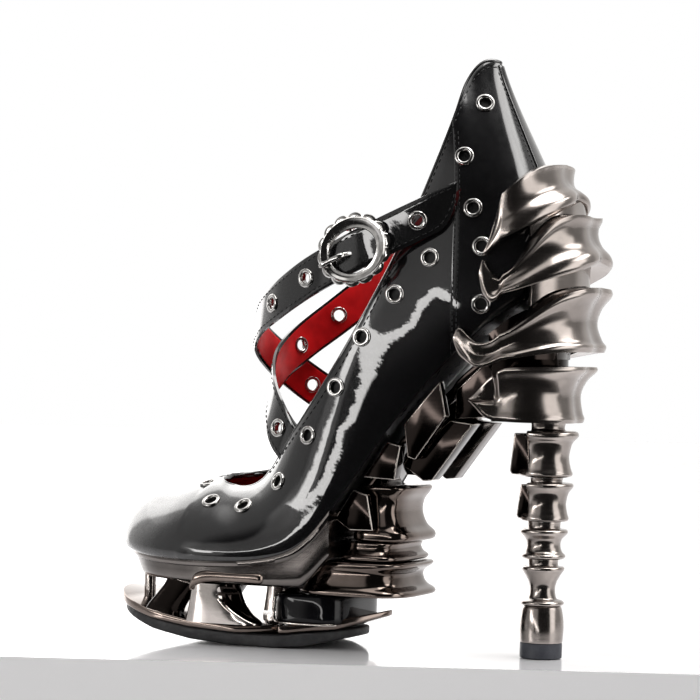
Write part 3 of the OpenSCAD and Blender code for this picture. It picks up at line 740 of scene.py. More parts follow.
def build_upper_trim():
    back = panel("back_seam_strip", 12.62, SEAM, BOTH, -0.6, 0.7, PATENT, 24, 60, 0.25, (0.04, 0.985))
    shade(back)
    a = np.linspace(RIDGE_END, SEAM, 420)
    edges = [(under(a, 1.0, s, (LEATHER + LINING) / 2), upper_normals(a, 1.0, s)) for s in BOTH]
    path, outward = (np.concatenate([outer, inner[-2:0:-1]]) for outer, inner in zip(*edges))
    binding = tube("topline_binding", path, outward, 1.35, 1.15, PATENT, closed=True)
    for s, label in SIDES:
        top = np.linspace(5.3, 12.6, 300)
        seam, back_h = np.linspace(0.06, 0.93, 80), np.linspace(0.3, 0.97, 80)
        for name, a, h, lift, size in (
                ("topline_stitches_" + label, top, edge_line(top, s, 3.0), counter_edge(top), ()),
                ("counter_stitches_%s_1" % label, 10.05, seam, 0.5, (1.7, 2.4, 0.24)),
                ("counter_stitches_%s_2" % label, 10.15, seam, 0.5, (1.7, 2.4, 0.24)),
                ("back_stitches_" + label, 12.5, back_h, 0.0, (1.7, 2.4, 0.2))):
            row = stitches(name, under(a, h, s, -lift), upper_normals(a, h, s), *size)


# ---------------------------------------------------------------- straps
# Middle lines of the straps, and their eyelets' places counted in points of the line
STRAP_A = np.array([[-3, 41, 88.5], [-18, 35, 100], [-33, 23, 112], [-43, 10, 123], [-45.5, -3, 132],
                    [-39, -16, 139.5], [-27, -26.5, 146.5], [-12, -34, 155], [1, -38, 161.5], [14, -39.6, 168],
                    [25, -38.8, 173.5], [36, -37, 179], [47, -34.8, 184.5], [58, -31.8, 190]], float)
STRAP_B = np.array([[-13, -24.5, 79], [-24.5, -23, 90], [-32, -17, 102], [-36, -7, 112.5], [-36.5, 4, 121],
                    [-32, 16, 130], [-22, 26, 140.5], [-8, 33, 153], [8, 36.5, 166], [22, 37.2, 176.5],
                    [36, 36, 185]], float)
STRAP_ANCHOR = np.array([[18, -36.5, 170], [26, -36, 174], [34, -34.6, 177.8]], float)
A_EYELETS = [1.9, 5.85, 7.15, 11.3]
B_EYELETS = [1.2, 4.8, 6.1]
ANKLE = np.array([4, 0, 150.0])    # the straps face away from it


def strap_frames(line, u):
    """Point, outward and side directions along a strap's middle line."""
    u = np.atleast_1d(np.asarray(u, float))
    last = len(line) - 1
    p = spline(line, u)
    tangent = unit(spline(line, np.minimum(u + 0.05, last)) - spline(line, np.maximum(u - 0.05, 0)))
    rel = p - ANKLE
    o = np.stack([(rel[:, 0] - 0.35 * rel[:, 2]) / 42, p[:, 1] / 34, np.zeros(len(u))], 1)
    o = unit(o - tangent * np.sum(o * tangent, axis=1, keepdims=True))
    return p, o, np.cross(o, tangent)


def strap_places(line, spots, lift=0.0):
    """Points and outward directions on a strap, for eyelets."""
    p, o, _ = strap_frames(line, spots)
    return [(p[i] + o[i] * lift, o[i]) for i in range(len(spots))]


def pointed(left):
    """Width of a tongue that ends in a point, from the share of its end still left."""
    return np.clip(1 - (1 - np.clip(left, 0, 1)) ** 2.2, 0.03, 1)


def strap(name, line, width, thick, spots, point=0.0, steps=200):
    """A strap with a crowned black outside, rounded edges and a red inside."""
    last = len(line) - 1
    u = np.linspace(0, last, steps)
    p, o, w = strap_frames(line, u)
    run = run_length(p)
    half = np.full(steps, width / 2)
    if point:
        half = width / 2 * pointed((run[-1] - run) / point)
        p = p + w * (width / 2 - half)[:, None]
    widths = np.linspace(-1, 1, 15)
    outer = [(x, 0.5 - 0.08 * x * x if abs(x) < 0.99 else 0.25) for x in widths]
    inner = [(x, -0.5 if abs(x) < 0.99 else -0.3) for x in widths[::-1]]
    section = np.array(outer + inner)
    rings = (p[:, None, :] + w[:, None, :] * (section[:, 0] * half[:, None])[:, :, None]
             + o[:, None, :] * (section[:, 1] * thick)[None, :, None])
    size = len(section)
    red = range(len(outer) + 1, size - 2)
    kinds = [int(j in red) for _ in range(steps - 1) for j in range(size)] + [0, 0]
    obj = add_mesh(name, rings.reshape(-1, 3), capped_faces(steps, size), PATENT_STRAP, RED, face_materials=kinds)
    clean(obj, 0.001)
    if spots:
        drill(obj, strap_places(line, spots), EYELET_BORE / 2 + 0.4)
    return shade(obj, 50)


def strap_stitches(name, line, stop, point=0.0):
    """Stitch rows near both edges of a strap, which meet at a pointed end."""
    p, o, w = strap_frames(line, np.linspace(0.3, stop, 160))
    full = STRAP_W / 2 - 1.7
    half = np.full(len(p), full)
    if point:
        half = half * pointed((np.linalg.norm(p - spline(line, [len(line) - 1])[0], axis=1) - 1.5) / point)
        p = p + w * (full - half)[:, None]
    for k, side in enumerate(BOTH):
        row = stitches("%s_%d" % (name, k + 1), p + w * (side * half)[:, None] + o * (0.44 * STRAP_T), o)


def build_straps():
    tongue = 17
    stand_for(strap("strap_a_leather", STRAP_A, STRAP_W, STRAP_T, A_EYELETS, tongue), "strap_a")
    stand_for(strap("strap_b_leather", STRAP_B, STRAP_W, STRAP_T, B_EYELETS), "strap_b")
    stand_for(strap("strap_anchor_leather", STRAP_ANCHOR, 10, 1.0, [], steps=24), "strap_anchor")
    strap_stitches("strap_a_stitches", STRAP_A, 12.9, tongue)
    strap_stitches("strap_b_stitches", STRAP_B, 9.8)


# ---------------------------------------------------------------- eyelets
def ring_mesh(name, places, profile, material, count=36):
    """Rings from one [radius, height] profile at many places."""
    verts, faces = [], []
    for point, direction in places:
        direction = unit(direction)
        side, other = across(direction)
        faces += grid_faces(count, len(profile), True, True, len(verts))
        for a in circle_angles(count):
            radial = math.cos(a) * side + math.sin(a) * other
            verts.extend(np.asarray(point, float) + r * radial + z * direction for r, z in profile)
    return shade(clean(add_mesh(name, verts, faces, material), 0.001), 50)


def eyelet_profile(thick):
    """A rolled flange, a barrel through the leather and a rolled washer behind it."""
    bore, rim = EYELET_BORE / 2, EYELET_D / 2
    middle, half = (bore + rim) / 2 + 0.05, (rim - bore) / 2 - 0.05
    roll = [(middle - half * math.cos(a), 0.12 + 0.85 * math.sin(a) ** 0.8)
            for a in np.linspace(0.05, math.pi - 0.05, 11)]
    front = [(bore + 0.02, -0.1)] + roll + [(rim - 0.1, 0.0), (bore + 0.5, -0.05)]
    back = [(bore + 0.5, -thick), (bore + 1.2, -thick - 0.05), (bore + 1.35, -thick - 0.3),
            (bore + 0.9, -thick - 0.6), (bore + 0.3, -thick - 0.55), (bore, -thick - 0.2)]
    return front + back


def build_eyelets():
    top = STRAP_T / 2 - 0.05
    counter = [(under(a, h, s, counter_lift(a)), upper_normals(a, h, s)) for s in BOTH for a, h in COUNTER_EYELETS]
    for node, places, thick in (
            ("eyelets_vamp", upper_places(VAMP_EYELETS, BOTH), LEATHER - 0.7),
            ("eyelets_quarter_outer", upper_places(QUARTER_EYELETS, [-1]), LEATHER - 0.7),
            ("eyelets_quarter_inner", upper_places(QUARTER_EYELETS, [1]), LEATHER - 0.7),
            ("eyelets_counter", counter, LEATHER - 0.7),
            ("eyelets_strap_a", strap_places(STRAP_A, A_EYELETS, top), STRAP_T),
            ("eyelets_strap_b", strap_places(STRAP_B, B_EYELETS, top), STRAP_T)):
        rings = ring_mesh(node.replace("eyelets", "eyelet_rings"), places, eyelet_profile(thick), NICKEL)
        stand_for(rings, node)


# ---------------------------------------------------------------- buckle
# The bar's middle and how the buckle is turned there
BUCKLE = np.array([14, -37, 168.0])
BUCKLE_YAW = math.radians(-3)
BUCKLE_PITCH = math.radians(-27)
BUCKLE_L = 30.0
BUCKLE_W = 26.0
BAR_D = 2.2
RING_Z = 4.8


def buckle_place(points):
    """From the buckle's own axes: X along the strap to the heel, Y along the bar, Z outward."""
    turn = (Matrix.Rotation(BUCKLE_YAW, 3, "Z") @ Matrix.Rotation(BUCKLE_PITCH, 3, "Y")
            @ Matrix.Rotation(math.radians(90), 3, "X"))
    return np.asarray(points, float) @ np.array(turn).T + BUCKLE


def build_buckle():
    rx, ry = BUCKLE_L / 2, BUCKLE_W / 2
    rings = []
    for a in circle_angles(288):
        c, s = math.cos(a), math.sin(a)
        out = unit([c / rx, s / ry, 0])
        base = np.array([rx * c, ry * s, RING_Z])
        wide = 1 + 0.35 * bump(0.5 + 0.5 * math.cos(a - 0.5))
        petal = abs(math.sin(7 * a)) ** 0.6
        scallop = 0.3 + 1.5 * petal
        section = [(-3.3 * wide, 0.2), (-3.4 * wide, 0.9), (-3.1 * wide, 1.4), (-2.4 * wide, 1.5), (-1.5, 1.9),
                   (-0.8, 2.5), (-0.3, 2.75), (0.1, 2.3), (0.35, 1.5), (0.3 + 0.5 * scallop, 1.2 + 0.3 * petal),
                   (0.3 + scallop, 0.9), (0.2 + scallop, 0.35), (-0.5, 0.1), (-1.5, 0.0), (-2.6, 0.0)]
        rings.append([base + out * r + np.array([0, 0, z]) for r, z in section])
    parts = [loft("ring", buckle_place(rings), NICKEL, body="buckle", closed=True)]
    lug = BUCKLE_W / 2 - 2.3
    for s in BOTH:
        rings = [rounded_ring((0, s * lug, z), (w, 0, 0), (0, 1.4, 0), 24, 3) for z, w in
                 ((-2.0, 1.2), (-1.6, 1.9), (0, 2.2), (3, 2.3), (RING_Z + 0.8, 2.9))]
        parts.append(loft("lug", buckle_place(rings), NICKEL, body="buckle"))
    stand_for(join("buckle_ring", parts), "buckle_frame")
    bar = [rounded_ring((0, y, 0), (r, 0, 0), (0, 0, r), 24, 2) for y, r in
           ((-12.2, 0.7), (-11.9, 1.05), (-11.5, BAR_D / 2), (11.5, BAR_D / 2), (11.9, 1.05), (12.2, 0.7))]
    stand_for(loft("buckle_bar_pin", buckle_place(bar), NICKEL, body="buckle"), "buckle_bar")


def build_prong():
    # Along the arm: [x, z, half width, half thickness]
    rows = smooth_rings([(-1.2, 1.7, 1.1, 0.8), (-2.6, 2.6, 1.15, 0.8), (-4.4, 5.2, 1.15, 0.8),
                         (-6.2, 7.4, 1.15, 0.85), (-9, 8.1, 1.1, 0.8), (-12, 8.25, 1.05, 0.8),
                         (-14.4, 8.1, 1.3, 1.0), (-16.2, 8.0, 0.7, 0.6)], 40)
    slopes = np.gradient(rows[:, :2], axis=0)
    rings = [rounded_ring((x, 0, z), (0, wide, 0), unit([dz, 0, -dx]) * tall, 20, 2.3)
             for (x, z, wide, tall), (dx, dz) in zip(rows, slopes)]
    arm = loft("arm", buckle_place(rings), NICKEL, body="prong")
    profile = [(BAR_D / 2 + r, y) for r, y in ((0.08, -1.45), (0.75, -1.5), (1.0, -1.1), (1.0, 1.1), (0.75, 1.5),
                                               (0.08, 1.45))]
    rings = np.array(turn_profile(profile, 40))[..., [0, 2, 1]]
    collar = loft("collar", buckle_place(rings), NICKEL, body="prong", closed=True)
    stand_for(join("prong_pin", [arm, collar]), "buckle_prong")


# ---------------------------------------------------------------- heel plates
def wrap(t, back, half, tip, start):
    """Plan of a wrapping plate at t: 0 at the back, 1 or -1 at a wing's tip."""
    u = np.abs(t)
    q = np.minimum(u / 0.5, 1) * math.pi / 2
    x = np.where(u < 0.5, start + (back - start) * np.cos(q), start + (tip - start) * (u - 0.5) / 0.5)
    return x, np.sign(t) * half * np.sin(q)


def heel_plate(name, node, tip, start, tops, bottoms, rim, inner_low, inner_high, profile, reach=1.0,
               groove=3.0, edge=0.8, scoop=0.0):
    """One wrapping plate. tops and bottoms are its heights from the back to a wing's tip; rim, inner_low and
    inner_high its reach back and half width; profile its (share of the height, inset from the rim)."""
    t = reach * np.linspace(-1, 1, 181)
    q = smooth_rings(profile, 34)
    zt, zb = spline(tops, np.abs(t) * 4), spline(bottoms, np.abs(t) * 4)
    # A groove down the back with a low swelling on each side, and wings that end bluntly
    dent = groove * gauss(t, 0.07) - 0.25 * groove * gauss(np.abs(t) - 0.19, 0.07)
    wing = bump((np.abs(t) - 0.55) / 0.4)
    blunt = np.sqrt(1 - 0.9 * np.clip((np.abs(t) - 0.92) / 0.08, 0, 1) ** 2)
    middle = (zt + zb) / 2
    zt, zb = middle + (zt - middle) * blunt, middle + (zb - middle) * blunt
    rings = []
    for i in range(len(t)):
        ring = []
        for share, inset in q:
            # Toward the wing's end the section turns into a plain rounded one
            inset = inset * (1 - wing[i]) + wing[i] * 2.6 * abs(2 * share - 1) ** 3
            if scoop:
                inset += scoop * bump((abs(t[i]) - 0.58) / 0.11) * bump((share - 0.3) / 0.2)
            depth = inset + dent[i] * (0.35 + 0.65 * (1 - min(inset / 8, 1)))
            x, y = wrap(t[i], rim[0] - depth, rim[1] - inset * rim[2], tip, start)
            ring.append((x, y, zb[i] + (zt[i] - zb[i]) * share))
        for corner, z in ((inner_high, zt[i]), (inner_low, zb[i])):
            x, y = wrap(t[i], corner[0], corner[1], tip, start)
            ring.append((x, y, z))
        rings.append(ring)
    stand_for(loft(name, rings, GUNMETAL, edge=edge, angle=42), node)


def build_heel_plates():
    heel_plate("spine_plate_1", "heel_plate_1", 67, 74, [206, 203, 192, 178, 169], [191, 183.5, 173.5, 169.5, 166.5],
               [100, 33, 0.2], [96, 31.2], [87.5, 29],
               [[0, 1.2], [0.06, 0.3], [0.14, 0], [0.24, 0.5], [0.34, 2.6], [0.45, 5.8], [0.6, 7.6], [0.8, 8.1],
                [1, 7.6]])
    heel_plate("spine_plate_2", "heel_plate_2", 66.5, 76, [184, 182, 158.6, 159, 166],
               [165.5, 159.4, 151, 147.6, 152], [110.8, 36, 0.4], [98, 32.2], [96.4, 31],
               [[0, 1.4], [0.06, 0.3], [0.14, 0], [0.26, 1.2], [0.42, 4.6], [0.6, 6.4], [0.78, 6.6], [0.92, 5.2],
                [1, 5.0]])
    heel_plate("spine_plate_3", "heel_plate_3", 56, 76, [155, 151.5, 134.5, 131, 138],
               [128, 127.6, 124, 120.8, 126.5], [111.3, 36, 0.4], [96, 31.2], [96, 31.2],
               [[0, 3.2], [0.1, 2.4], [0.2, 4.4], [0.45, 6.6], [0.7, 4.6], [0.9, 0.4], [1, 0.6]])
    heel_plate("spine_plate_4", "heel_plate_4", 60, 76, [122, 121.6, 120.6, 116, 109],
               [98.4, 98.4, 98.6, 100, 106], [106, 29, 0.5], [94, 19], [94, 22],
               [[0, 6], [0.08, 5.4], [0.2, 6.4], [0.5, 7.2], [0.75, 4.6], [0.92, 0.4], [1, 0.4]], scoop=5.0)
    heel_plate("spine_neck_upper", "heel_neck_upper", 67, 74, [190.5, 183, 172, 172, 172],
               [184.5, 182.4, 160, 160, 160], [98.6, 31.6, 0.3], [95.6, 30.2], [94.6, 29.6],
               [[0, 0], [0.5, 0.2], [1, 0.4]], 0.34, 0.5, 0.15)
    heel_plate("spine_neck_lower", "heel_neck_lower", 67, 74, [165, 159, 151.8, 150, 150],
               [155.5, 152, 136, 136, 136], [101, 33, 0.3], [96.6, 31], [96.4, 31],
               [[0, 0], [0.5, 0], [1, 0]], 0.34, 0.5, 0.15)


# ---------------------------------------------------------------- heel column
def lathe(name, outline, material, bore=3.02, flat=None):
    """A turned piece: a smooth outline of [radius, z], bored for the rod."""
    profile = [(bore, outline[0][1]), *smooth_rings(outline, 60), (bore, outline[-1][1])]
    rings = np.array(turn_profile(profile, 96, HEEL_X))
    if flat:
        # The front is cut back to a flat above the foot of a finned piece
        reach, foot = flat
        x = rings[..., 0] - HEEL_X
        cut = np.where(rings[..., 2] > foot, -reach, -np.inf)
        rings[..., 0] = HEEL_X + np.maximum(x, np.where(x < -bore, cut, x))
    return loft(name, rings, material, closed=True)


def finned(name, node, outline, fin):
    """A vertebra: a turned body with a pointed fin block in front."""
    x0, x1, z0, z1 = fin
    body = lathe("turned", outline, GUNMETAL, flat=(4.6, z0 + 2.2))
    high = z1 - z0
    side = [(x0 + 1.6, z1), (x1 + 1.5, z1), (x1 + 3.5, z1 - 0.15 * high), (x1 + 4.5, z0),
            (x0 + 0.8, z0 + 0.02 * high), (x0, z0 + 0.1 * high)]
    rings = [[(x, y, z) for x, z in side] for y in (-5.5, 5.5)]
    # The block's bevelled edges get the bright chrome, a painted highlight
    block = loft("block", rings, DARK_CHROME, BEAD_AND_PAINTED_EDGE_HIGHLIGHT, edge=0.45, angle=25, edge_material=1)
    stand_for(join(name, [body, block]), node)


def build_heel_column():
    finned("fin_vertebra_upper_body", "fin_vertebra_upper",
           [[8, 75.4], [10.6, 76], [11.4, 77], [10.6, 79.4], [9.8, 84], [11, 89.6], [13, 92], [13.6, 93.4],
            [12.6, 94.8], [8, 95.2], [8, 98.1]], (71.6, 76, 76, 93.6))
    finned("fin_vertebra_lower_body", "fin_vertebra_lower",
           [[7.2, 57.2], [9.6, 57.4], [10.2, 58.4], [9.6, 60.6], [9, 64.4], [9.8, 68.6], [11.4, 71], [11.9, 72.2],
            [11, 73.2], [7.5, 73.4], [7.5, 75.2]], (75, 78, 57.8, 72.4))
    for node, outline in (
            ("spool_upper", [[8, 41.4], [9, 42], [9.2, 43], [7.8, 44.6], [7.1, 47], [7.6, 49.6], [9.6, 51.8],
                             [10.1, 52.8], [9.4, 53.8], [7, 54.2], [7, 57]]),
            ("spool_lower", [[7.8, 22], [8.9, 22.4], [9, 23.4], [8, 24.2], [6, 25], [5.3, 28.6], [6, 32], [8, 35.6],
                             [8.9, 37], [8.6, 38.2], [6.4, 38.6], [6.4, 41.2]]),
            ("heel_barrel", [[8.5, 6.6], [8.9, 6.8], [9.1, 9], [9.3, 12.5], [9.1, 16.5], [8.4, 20.4], [7.9, 21.6],
                             [7.6, 21.8]])):
        stand_for(lathe(node + "_body", outline, GUNMETAL), node)
    outline = [[8.2, 0], [8.6, 0.25], [8.8, 0.8], [8.8, 5.6], [8.7, 6.3], [8.4, 6.5]]
    stand_for(lathe("top_lift_rubber", outline, HEEL_RUBBER, bore=0.05), "top_lift")


# ---------------------------------------------------------------- platform
def deck_bottom(a):
    """Height of the deck's underside, which rises at the toe and under the arch."""
    return 26 + 3 * bump((1.5 - a) / 1.5) + 16 * bump((a - 5.75) / 1.05)


def sole_edge(a, s, inset):
    """The sole's outline, moved in by an inset."""
    a1 = np.maximum(a, 0.12)
    p = upper_points(a, 0.0, s)
    d = upper_points(a1 + 0.02, 0.0, s) - upper_points(a1 - 0.02, 0.0, s)
    n = unit(np.stack([d[..., 1], -d[..., 0]], -1))
    return p[..., :2] + s * np.asarray(inset, float)[..., None] * n


def build_deck():
    a = np.linspace(0.02, 6.5, 140)
    toe = gauss(a, 1.3)
    # Under the arch the deck is hollow, round the rear flanges
    hollow = 0.75 * bump((a - 4.9) / 0.5)
    top = upper_points(a, 0.0, -1)[:, 2] - 0.1
    rings = []
    # Each level: inset from the sole's edge, share of the way down, lift
    for inset, share, lift in ((4.0, 0.0, -0.2), (-0.5, 0.0, 0.5), (-0.9, 0.06, 0.2), (-0.6, 0.16, 0.0), (0.3, 0.22, 0),
                               (0.5, 0.45, 0), (0.6, 0.7, 0), (1.0, 0.86, 0), (2.2, 0.96, 0), (4.5, 1.0, 0),
                               (5.5, 1 - 0.8 * hollow, 0), (7, 1 - hollow, 0)):
        z = top + lift - share * np.maximum(top - deck_bottom(a), 1.5)
        outer, inner = (np.column_stack([sole_edge(a, s, inset + toe * share * 7.0), z]) for s in BOTH)
        rings.append(np.concatenate([outer, inner[::-1]]))
    stand_for(loft("deck_shell", rings, DECK_METAL), "platform_deck")


def scoop_start(z):
    """Where along X the scoop in a middle strut's flank begins, at a height."""
    return -45.6 + 15.6 * (np.clip(22 - z, 0, 12) / 12) ** 1.8


def build_struts():
    for s, label in SIDES:
        # Leaning front strut: faceted, with a hollow behind it; its bevelled edges are painted bright, as a highlight
        rows = [(-75.0, 11.6, 8.2), (-74.2, 14.5, 7.2), (-71.5, 18.5, 6.6), (-68.4, 22.6, 6.4), (-66, 26.4, 6.6)]
        rings = [rounded_ring((x, s * 28.5, z), (w, 0, -0.2 * w), (0, 4.5, 0), 40, 5) for x, z, w in rows]
        front = loft("front_strut_body_" + label, smooth_rings(rings, 16), DARK_CHROME, BEAD_AND_PAINTED_EDGE_HIGHLIGHT, edge=0.45,
                     angle=35, edge_material=1)
        stand_for(front, "front_strut_" + label)
        # Wide middle strut, flaring down into the base plate like a root
        rows = [(-48.8, 26.0, 10.6), (-48.6, 23.5, 10.8), (-48.4, 20, 11.6), (-47.8, 16.5, 12.8), (-46.8, 13.2, 14.6),
                (-45.4, 10.8, 16.6), (-45, 9.4, 17.2)]
        y = s * 33.0
        rings = smooth_rings([rounded_ring((x, y + s * (z - 9.4) * 0.06, z), (w, 0, 0), (0, 5.4 + 0.02 * w, 0), 96,
                                           3.4) for x, z, w in rows], 40)
        if s > 0:
            # The photo shows daylight where a mirrored strut would be seen
            rings[..., 0] = np.where(rings[..., 0] < -46, -46 + 0.55 * (rings[..., 0] + 46), rings[..., 0])
        # A dark scoop is pressed into the flank behind the bright root
        scoop = bump((rings[..., 0] - scoop_start(rings[..., 2])) / 3) * bump((25 - rings[..., 2]) / 3)
        outer = np.clip(s * (rings[..., 1] - y) / 5, 0, 1)
        rings[..., 1] -= s * 3.0 * scoop * outer
        middle = loft("strut", rings, GUNMETAL_SMOOTH, DARK_CHROME)
        for face in middle.data.polygons:
            x, _, z = np.array(face.center) / MM
            face.material_index = int(x > scoop_start(z) + 0.8)
        rows = [(-58.4, 24.5, 1.6), (-56.5, 27.2, 2.6), (-52, 29.0, 2.75), (-46, 29.4, 2.5), (-36, 29.4, 2.4),
                (-28.5, 29.4, 2.5), (-26.0, 29.4, 2.2), (-24.9, 29.4, 1.2)]
        rings = [rounded_ring((x, s * 38.6, z), (0, r, 0), (0, 0, r), 28, 2.2) for x, z, r in rows]
        finger = loft("finger", smooth_rings(rings, 40), BRONZE)
        stand_for(join("mid_strut_body_" + label, [middle, finger]), "mid_strut_" + label)


def pulley(name, node, rows, material):
    """A rounded block grooved like a pulley; rows are (z, x0, x1, half width)."""
    rings = [rounded_ring(((x0 + x1) / 2, 0, z), ((x1 - x0) / 2, 0, 0), (0, half, 0), 96, 3.6)
             for z, x0, x1, half in rows]
    stand_for(loft(name, smooth_rings(rings, 60), material, edge=0.3, angle=50), node)


def build_core_trim():
    """Chrome beads that frame the black core block in front and below."""
    path = [(-26.7, 18.4, 22.0), (-27.6, 19.3, 20.4), (-28, 19.6, 16), (-27.8, 19.6, 12.4), (-26.6, 21.2, 10.6),
            (-24, 24.1, 10.2), (-18, 26.1, 10.1), (-11, 26.4, 10.1), (-3, 25.8, 10.1), (2.5, 22.9, 10.1)]
    count = 60
    number = np.arange(count)
    size = 0.55 * np.sqrt(np.clip(np.minimum(number, count - 1 - number) / 3, 0.02, 1))
    for s, label in SIDES:
        line = smooth_rings(path, count) * [1, s, 1]
        out = np.tile([0.0, s, 0.0], (count, 1))
        trim = tube("core_trim_" + label, line, out, size, size, BEAD_AND_PAINTED_EDGE_HIGHLIGHT)


def build_rear_flanges():
    pulley("core_block_body", "core_block",
           [(9.8, -26.4, 3.6, 24.4), (10.2, -27.8, 5, 25.4), (11.4, -28.9, 5.9, 25.9), (15, -29, 6, 26),
            (19, -29, 6, 26), (21.4, -28.4, 5.6, 25.7), (22.2, -27.4, 4.6, 25), (22.4, -26, 3.4, 24)],
           BLACK_GLOSS)
    pulley("flange_lower_body", "rear_flange_lower",
           [(22.8, -12, 30, 26), (23.1, -17, 32.5, 27.6), (24.2, -18, 33, 28), (25.4, -17.4, 32.2, 27.6),
            (27.2, -16.4, 29.2, 26.6), (30, -15.4, 27.6, 26), (32.8, -14, 28, 25.6), (35, -12, 31, 26),
            (36.2, -11, 32, 26), (37, -10, 31.4, 25.6), (37.4, -9, 30, 24.6)], BRONZE)
    pulley("flange_upper_body", "rear_flange_upper",
           [(37.8, 1, 28, 24), (38.4, 0, 29, 25), (39.6, 0, 29, 25), (41, 1.5, 27, 24), (43, 3, 26, 23),
            (45, 3.4, 26.6, 23), (45.6, 3.6, 26, 22.6)], BRONZE)
    pulley("arch_vertebra_body", "arch_vertebra",
           [(46, 7, 29, 20.6), (46.5, 5.4, 32, 21.6), (48, 5, 33, 22), (50, 5.6, 32.4, 21.8), (53, 8, 29, 20.4),
            (58, 9.6, 27, 19.6), (63, 9.4, 27.6, 19.6), (66.5, 8, 30, 20.6), (68.6, 7.4, 31, 21),
            (69.6, 8.6, 30, 20.2)], BRONZE)


def build_platform_rest():
    refined("toe_posts", GUNMETAL, 0.4)
    refined("base_plate", BRONZE, 0.9)
    refined("outsole", RUBBER, 0.8)
    refined("arch_fairing", DARK_CHROME, 0.5)
    for level in ("lower", "middle", "upper"):
        # Bevelled edges of the dark chrome blocks, bars and link are painted bright, as a highlight
        refined("arch_block_" + level, DARK_CHROME, 0.55, BEAD_AND_PAINTED_EDGE_HIGHLIGHT)
    refined("arch_bar_outer", DARK_CHROME, 0.5, BEAD_AND_PAINTED_EDGE_HIGHLIGHT)
    refined("arch_bar_inner", DECK_METAL, 0.5)
    refined("arch_link", DARK_CHROME, 0.5, BEAD_AND_PAINTED_EDGE_HIGHLIGHT)
    refined("heel_core", DARK_CHROME, 0.5)
    refined("heel_rod", STEEL, 0)
    refined("steel_shank", STEEL, 0.2)
    refined("seat_screws", STEEL, 0.2)
    refined("insole_board", BOARD, 0.2)
    # The sock has the darker red, painted shade
    refined("sock", SHADED_RED_LINING, 0.2)


# ---------------------------------------------------------------- studio
def build_camera():
    centre = (cad_bounds[0] + cad_bounds[1]) / 2
    target = Vector((centre.x - 4 * MM, 0, centre.z + 1.5 * MM))
    azimuth, roll, distance = math.radians(22), math.radians(1.5), 1.2
    back = Vector((math.sin(azimuth), -math.cos(azimuth), 0))
    right = Vector((math.cos(azimuth), math.sin(azimuth), 0))
    up = Vector((0, 0, 1))
    tilted_right = right * math.cos(roll) + up * math.sin(roll)
    tilted_up = up * math.cos(roll) - right * math.sin(roll)
    data = bpy.data.cameras.new("camera")
    data.sensor_width = 36
    data.lens = 143.5
    data.clip_start, data.clip_end = 0.05, 20
    camera = new_object("camera", data)
    camera.matrix_world = Matrix((tilted_right, tilted_up, back)).transposed().to_4x4()
    camera.location = target + back * distance
    bpy.context.scene.camera = camera
    return right, back


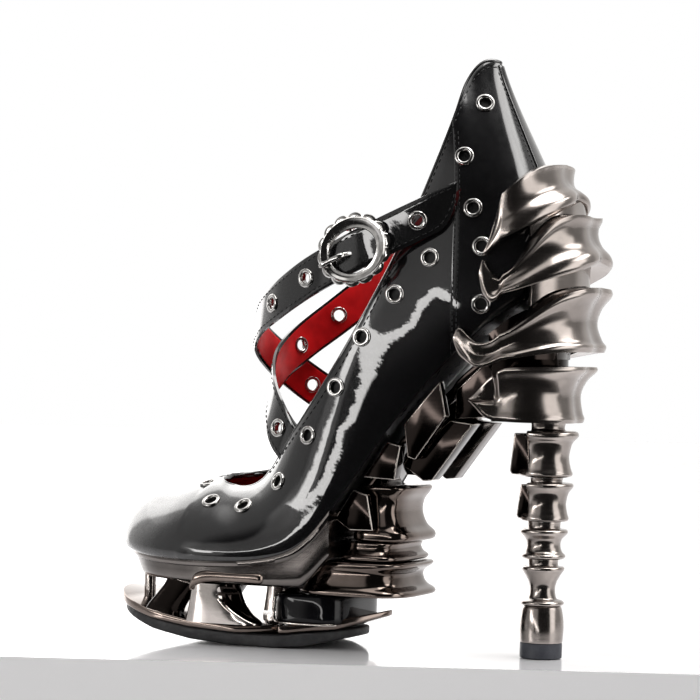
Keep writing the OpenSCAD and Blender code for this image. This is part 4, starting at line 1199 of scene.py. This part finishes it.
def build_world(right, back):
    """A studio of soft windows, fixed in the room. It is plain white where the camera sees it."""
    world = bpy.data.worlds.new("studio")
    bpy.context.scene.world = world
    world.use_nodes = True
    studio = Nodes(world.node_tree)
    studio.tree.nodes.clear()
    coordinate = studio.add("ShaderNodeTexCoord").outputs["Generated"]

    def along(direction):
        return studio.add("ShaderNodeVectorMath", {0: coordinate, 1: direction},
                          operation="DOT_PRODUCT").outputs["Value"]

    up, side, front = along((0, 0, 1)), along(right), along(back)
    corner = along(right * 0.731 - back * 0.682)
    # Height above the middle of the hot strip, which runs slanting down toward the camera
    rise = along(right * 0.37 + back * 0.268 + Vector((0, 0, 0.89)))
    left_end = (side, -0.93, -0.89), (front, 0.15, 0.25)
    light = 0.02
    # Each window is its strength and its edges: (direction, share 0 at, share 1 at)
    for strength, *edges in (
            # Dark in front, grey at the sides, white behind
            (0.44, (front, 0.45, 0.1)),
            (0.45, (front, -0.3, -0.6)),
            (2.3, (corner, -0.05, 0.04), (side, 0.1, -0.1), (up, 0.73, 0.67)),
            # Soft box on the camera's left, with a hot strip in it
            (0.65, (side, -0.66, -0.74), (side, -0.97, -0.93), (front, 0.05, 0.2), (up, -0.35, -0.2), (up, 0.62, 0.5)),
            (0.5, (side, -0.36, -0.46), (side, -0.74, -0.66), (rise, -0.01, 0.02), (up, 0.62, 0.5)),
            (10.0, (rise, -0.018, -0.008), (rise, 0.034, 0.022), (side, -0.27, -0.33), *left_end, (up, 0.41, 0.37)),
            (10.0, (rise, -0.13, -0.1), (rise, -0.008, -0.018), (side, -0.77, -0.8), *left_end),
            # Dimmer box on the right
            (2.4, (side, 0.62, 0.72), (side, 0.98, 0.9), (front, 0.0, 0.15), (up, -0.4, -0.2), (up, 0.75, 0.6)),
            # Overhead soft box, brighter on the right
            (6.0, (side, 0.6, 0.66), (up, 0.58, 0.63), (up, 0.82, 0.78), (front, -0.32, -0.24)),
            (1.8, (up, 0.80, 0.86), (side, -0.6, -0.4)),
            (7.5, (up, 0.82, 0.86), (side, 0.05, 0.12), (front, -0.5, -0.3))):
        share = None
        for value, start, end in edges:
            step = studio.add("ShaderNodeMapRange", {"Value": value, "From Min": start, "From Max": end},
                              interpolation_type="SMOOTHSTEP").outputs["Result"]
            share = studio.math("MULTIPLY", share, step) if share else step
        light = studio.math("MULTIPLY_ADD", share, strength, light)
    lit = studio.add("ShaderNodeBackground", {"Color": (1, 0.985, 0.97, 1), "Strength": light})
    seen = studio.add("ShaderNodeBackground", {"Color": (1, 1, 1, 1), "Strength": 1.0})
    path = studio.add("ShaderNodeLightPath")
    mix = studio.add("ShaderNodeMixShader", {0: path.outputs["Is Camera Ray"], 1: lit.outputs["Background"],
                                             2: seen.outputs["Background"]})
    studio.add("ShaderNodeOutputWorld", {"Surface": mix.outputs["Shader"]})


def build_floor(right, back):
    """A pale glossy table whose front edge is a hand's width before the shoe."""
    front_edge, wide, deep, thick, gap = 78, 3000, 3000, 20, 0.2
    corners = [(-wide, -deep), (wide, -deep), (wide, front_edge), (-wide, front_edge)]
    verts = [tuple(right * r + back * b + Vector((0, 0, z))) for z in (-thick, -gap) for r, b in corners]
    faces = [(3, 2, 1, 0), (4, 5, 6, 7), (0, 1, 5, 4), (1, 2, 6, 5), (2, 3, 7, 6), (3, 0, 4, 7)]
    top = Shader("table_top", Specular_IOR_Level=0.45)
    top.tint(top.noise(3, 2), (0.55, 0.55, 0.565), (0.58, 0.58, 0.59))
    top.rough(top.noise(60, 3), 0.05, 0.1)
    front = Shader("table_front", Specular_IOR_Level=0.3)
    front.tint(front.noise(3, 2), (0.92, 0.92, 0.94), (0.95, 0.95, 0.965))
    front.rough(front.noise(60, 3), 0.3, 0.4)
    floor = add_mesh("table", verts, faces, top.material, front.material, body=None,
                     face_materials=[0, 0, 0, 0, 1, 0])
    clean(floor)


right_way, back_way = build_camera()
build_world(right_way, back_way)
build_floor(right_way, back_way)
build_upper()
build_upper_trim()
build_straps()
build_eyelets()
build_buckle()
build_prong()
build_heel_plates()
build_heel_column()
build_deck()
build_struts()
build_core_trim()
build_rear_flanges()
build_platform_rest()

scene = bpy.context.scene
scene.view_settings.view_transform = "Standard"
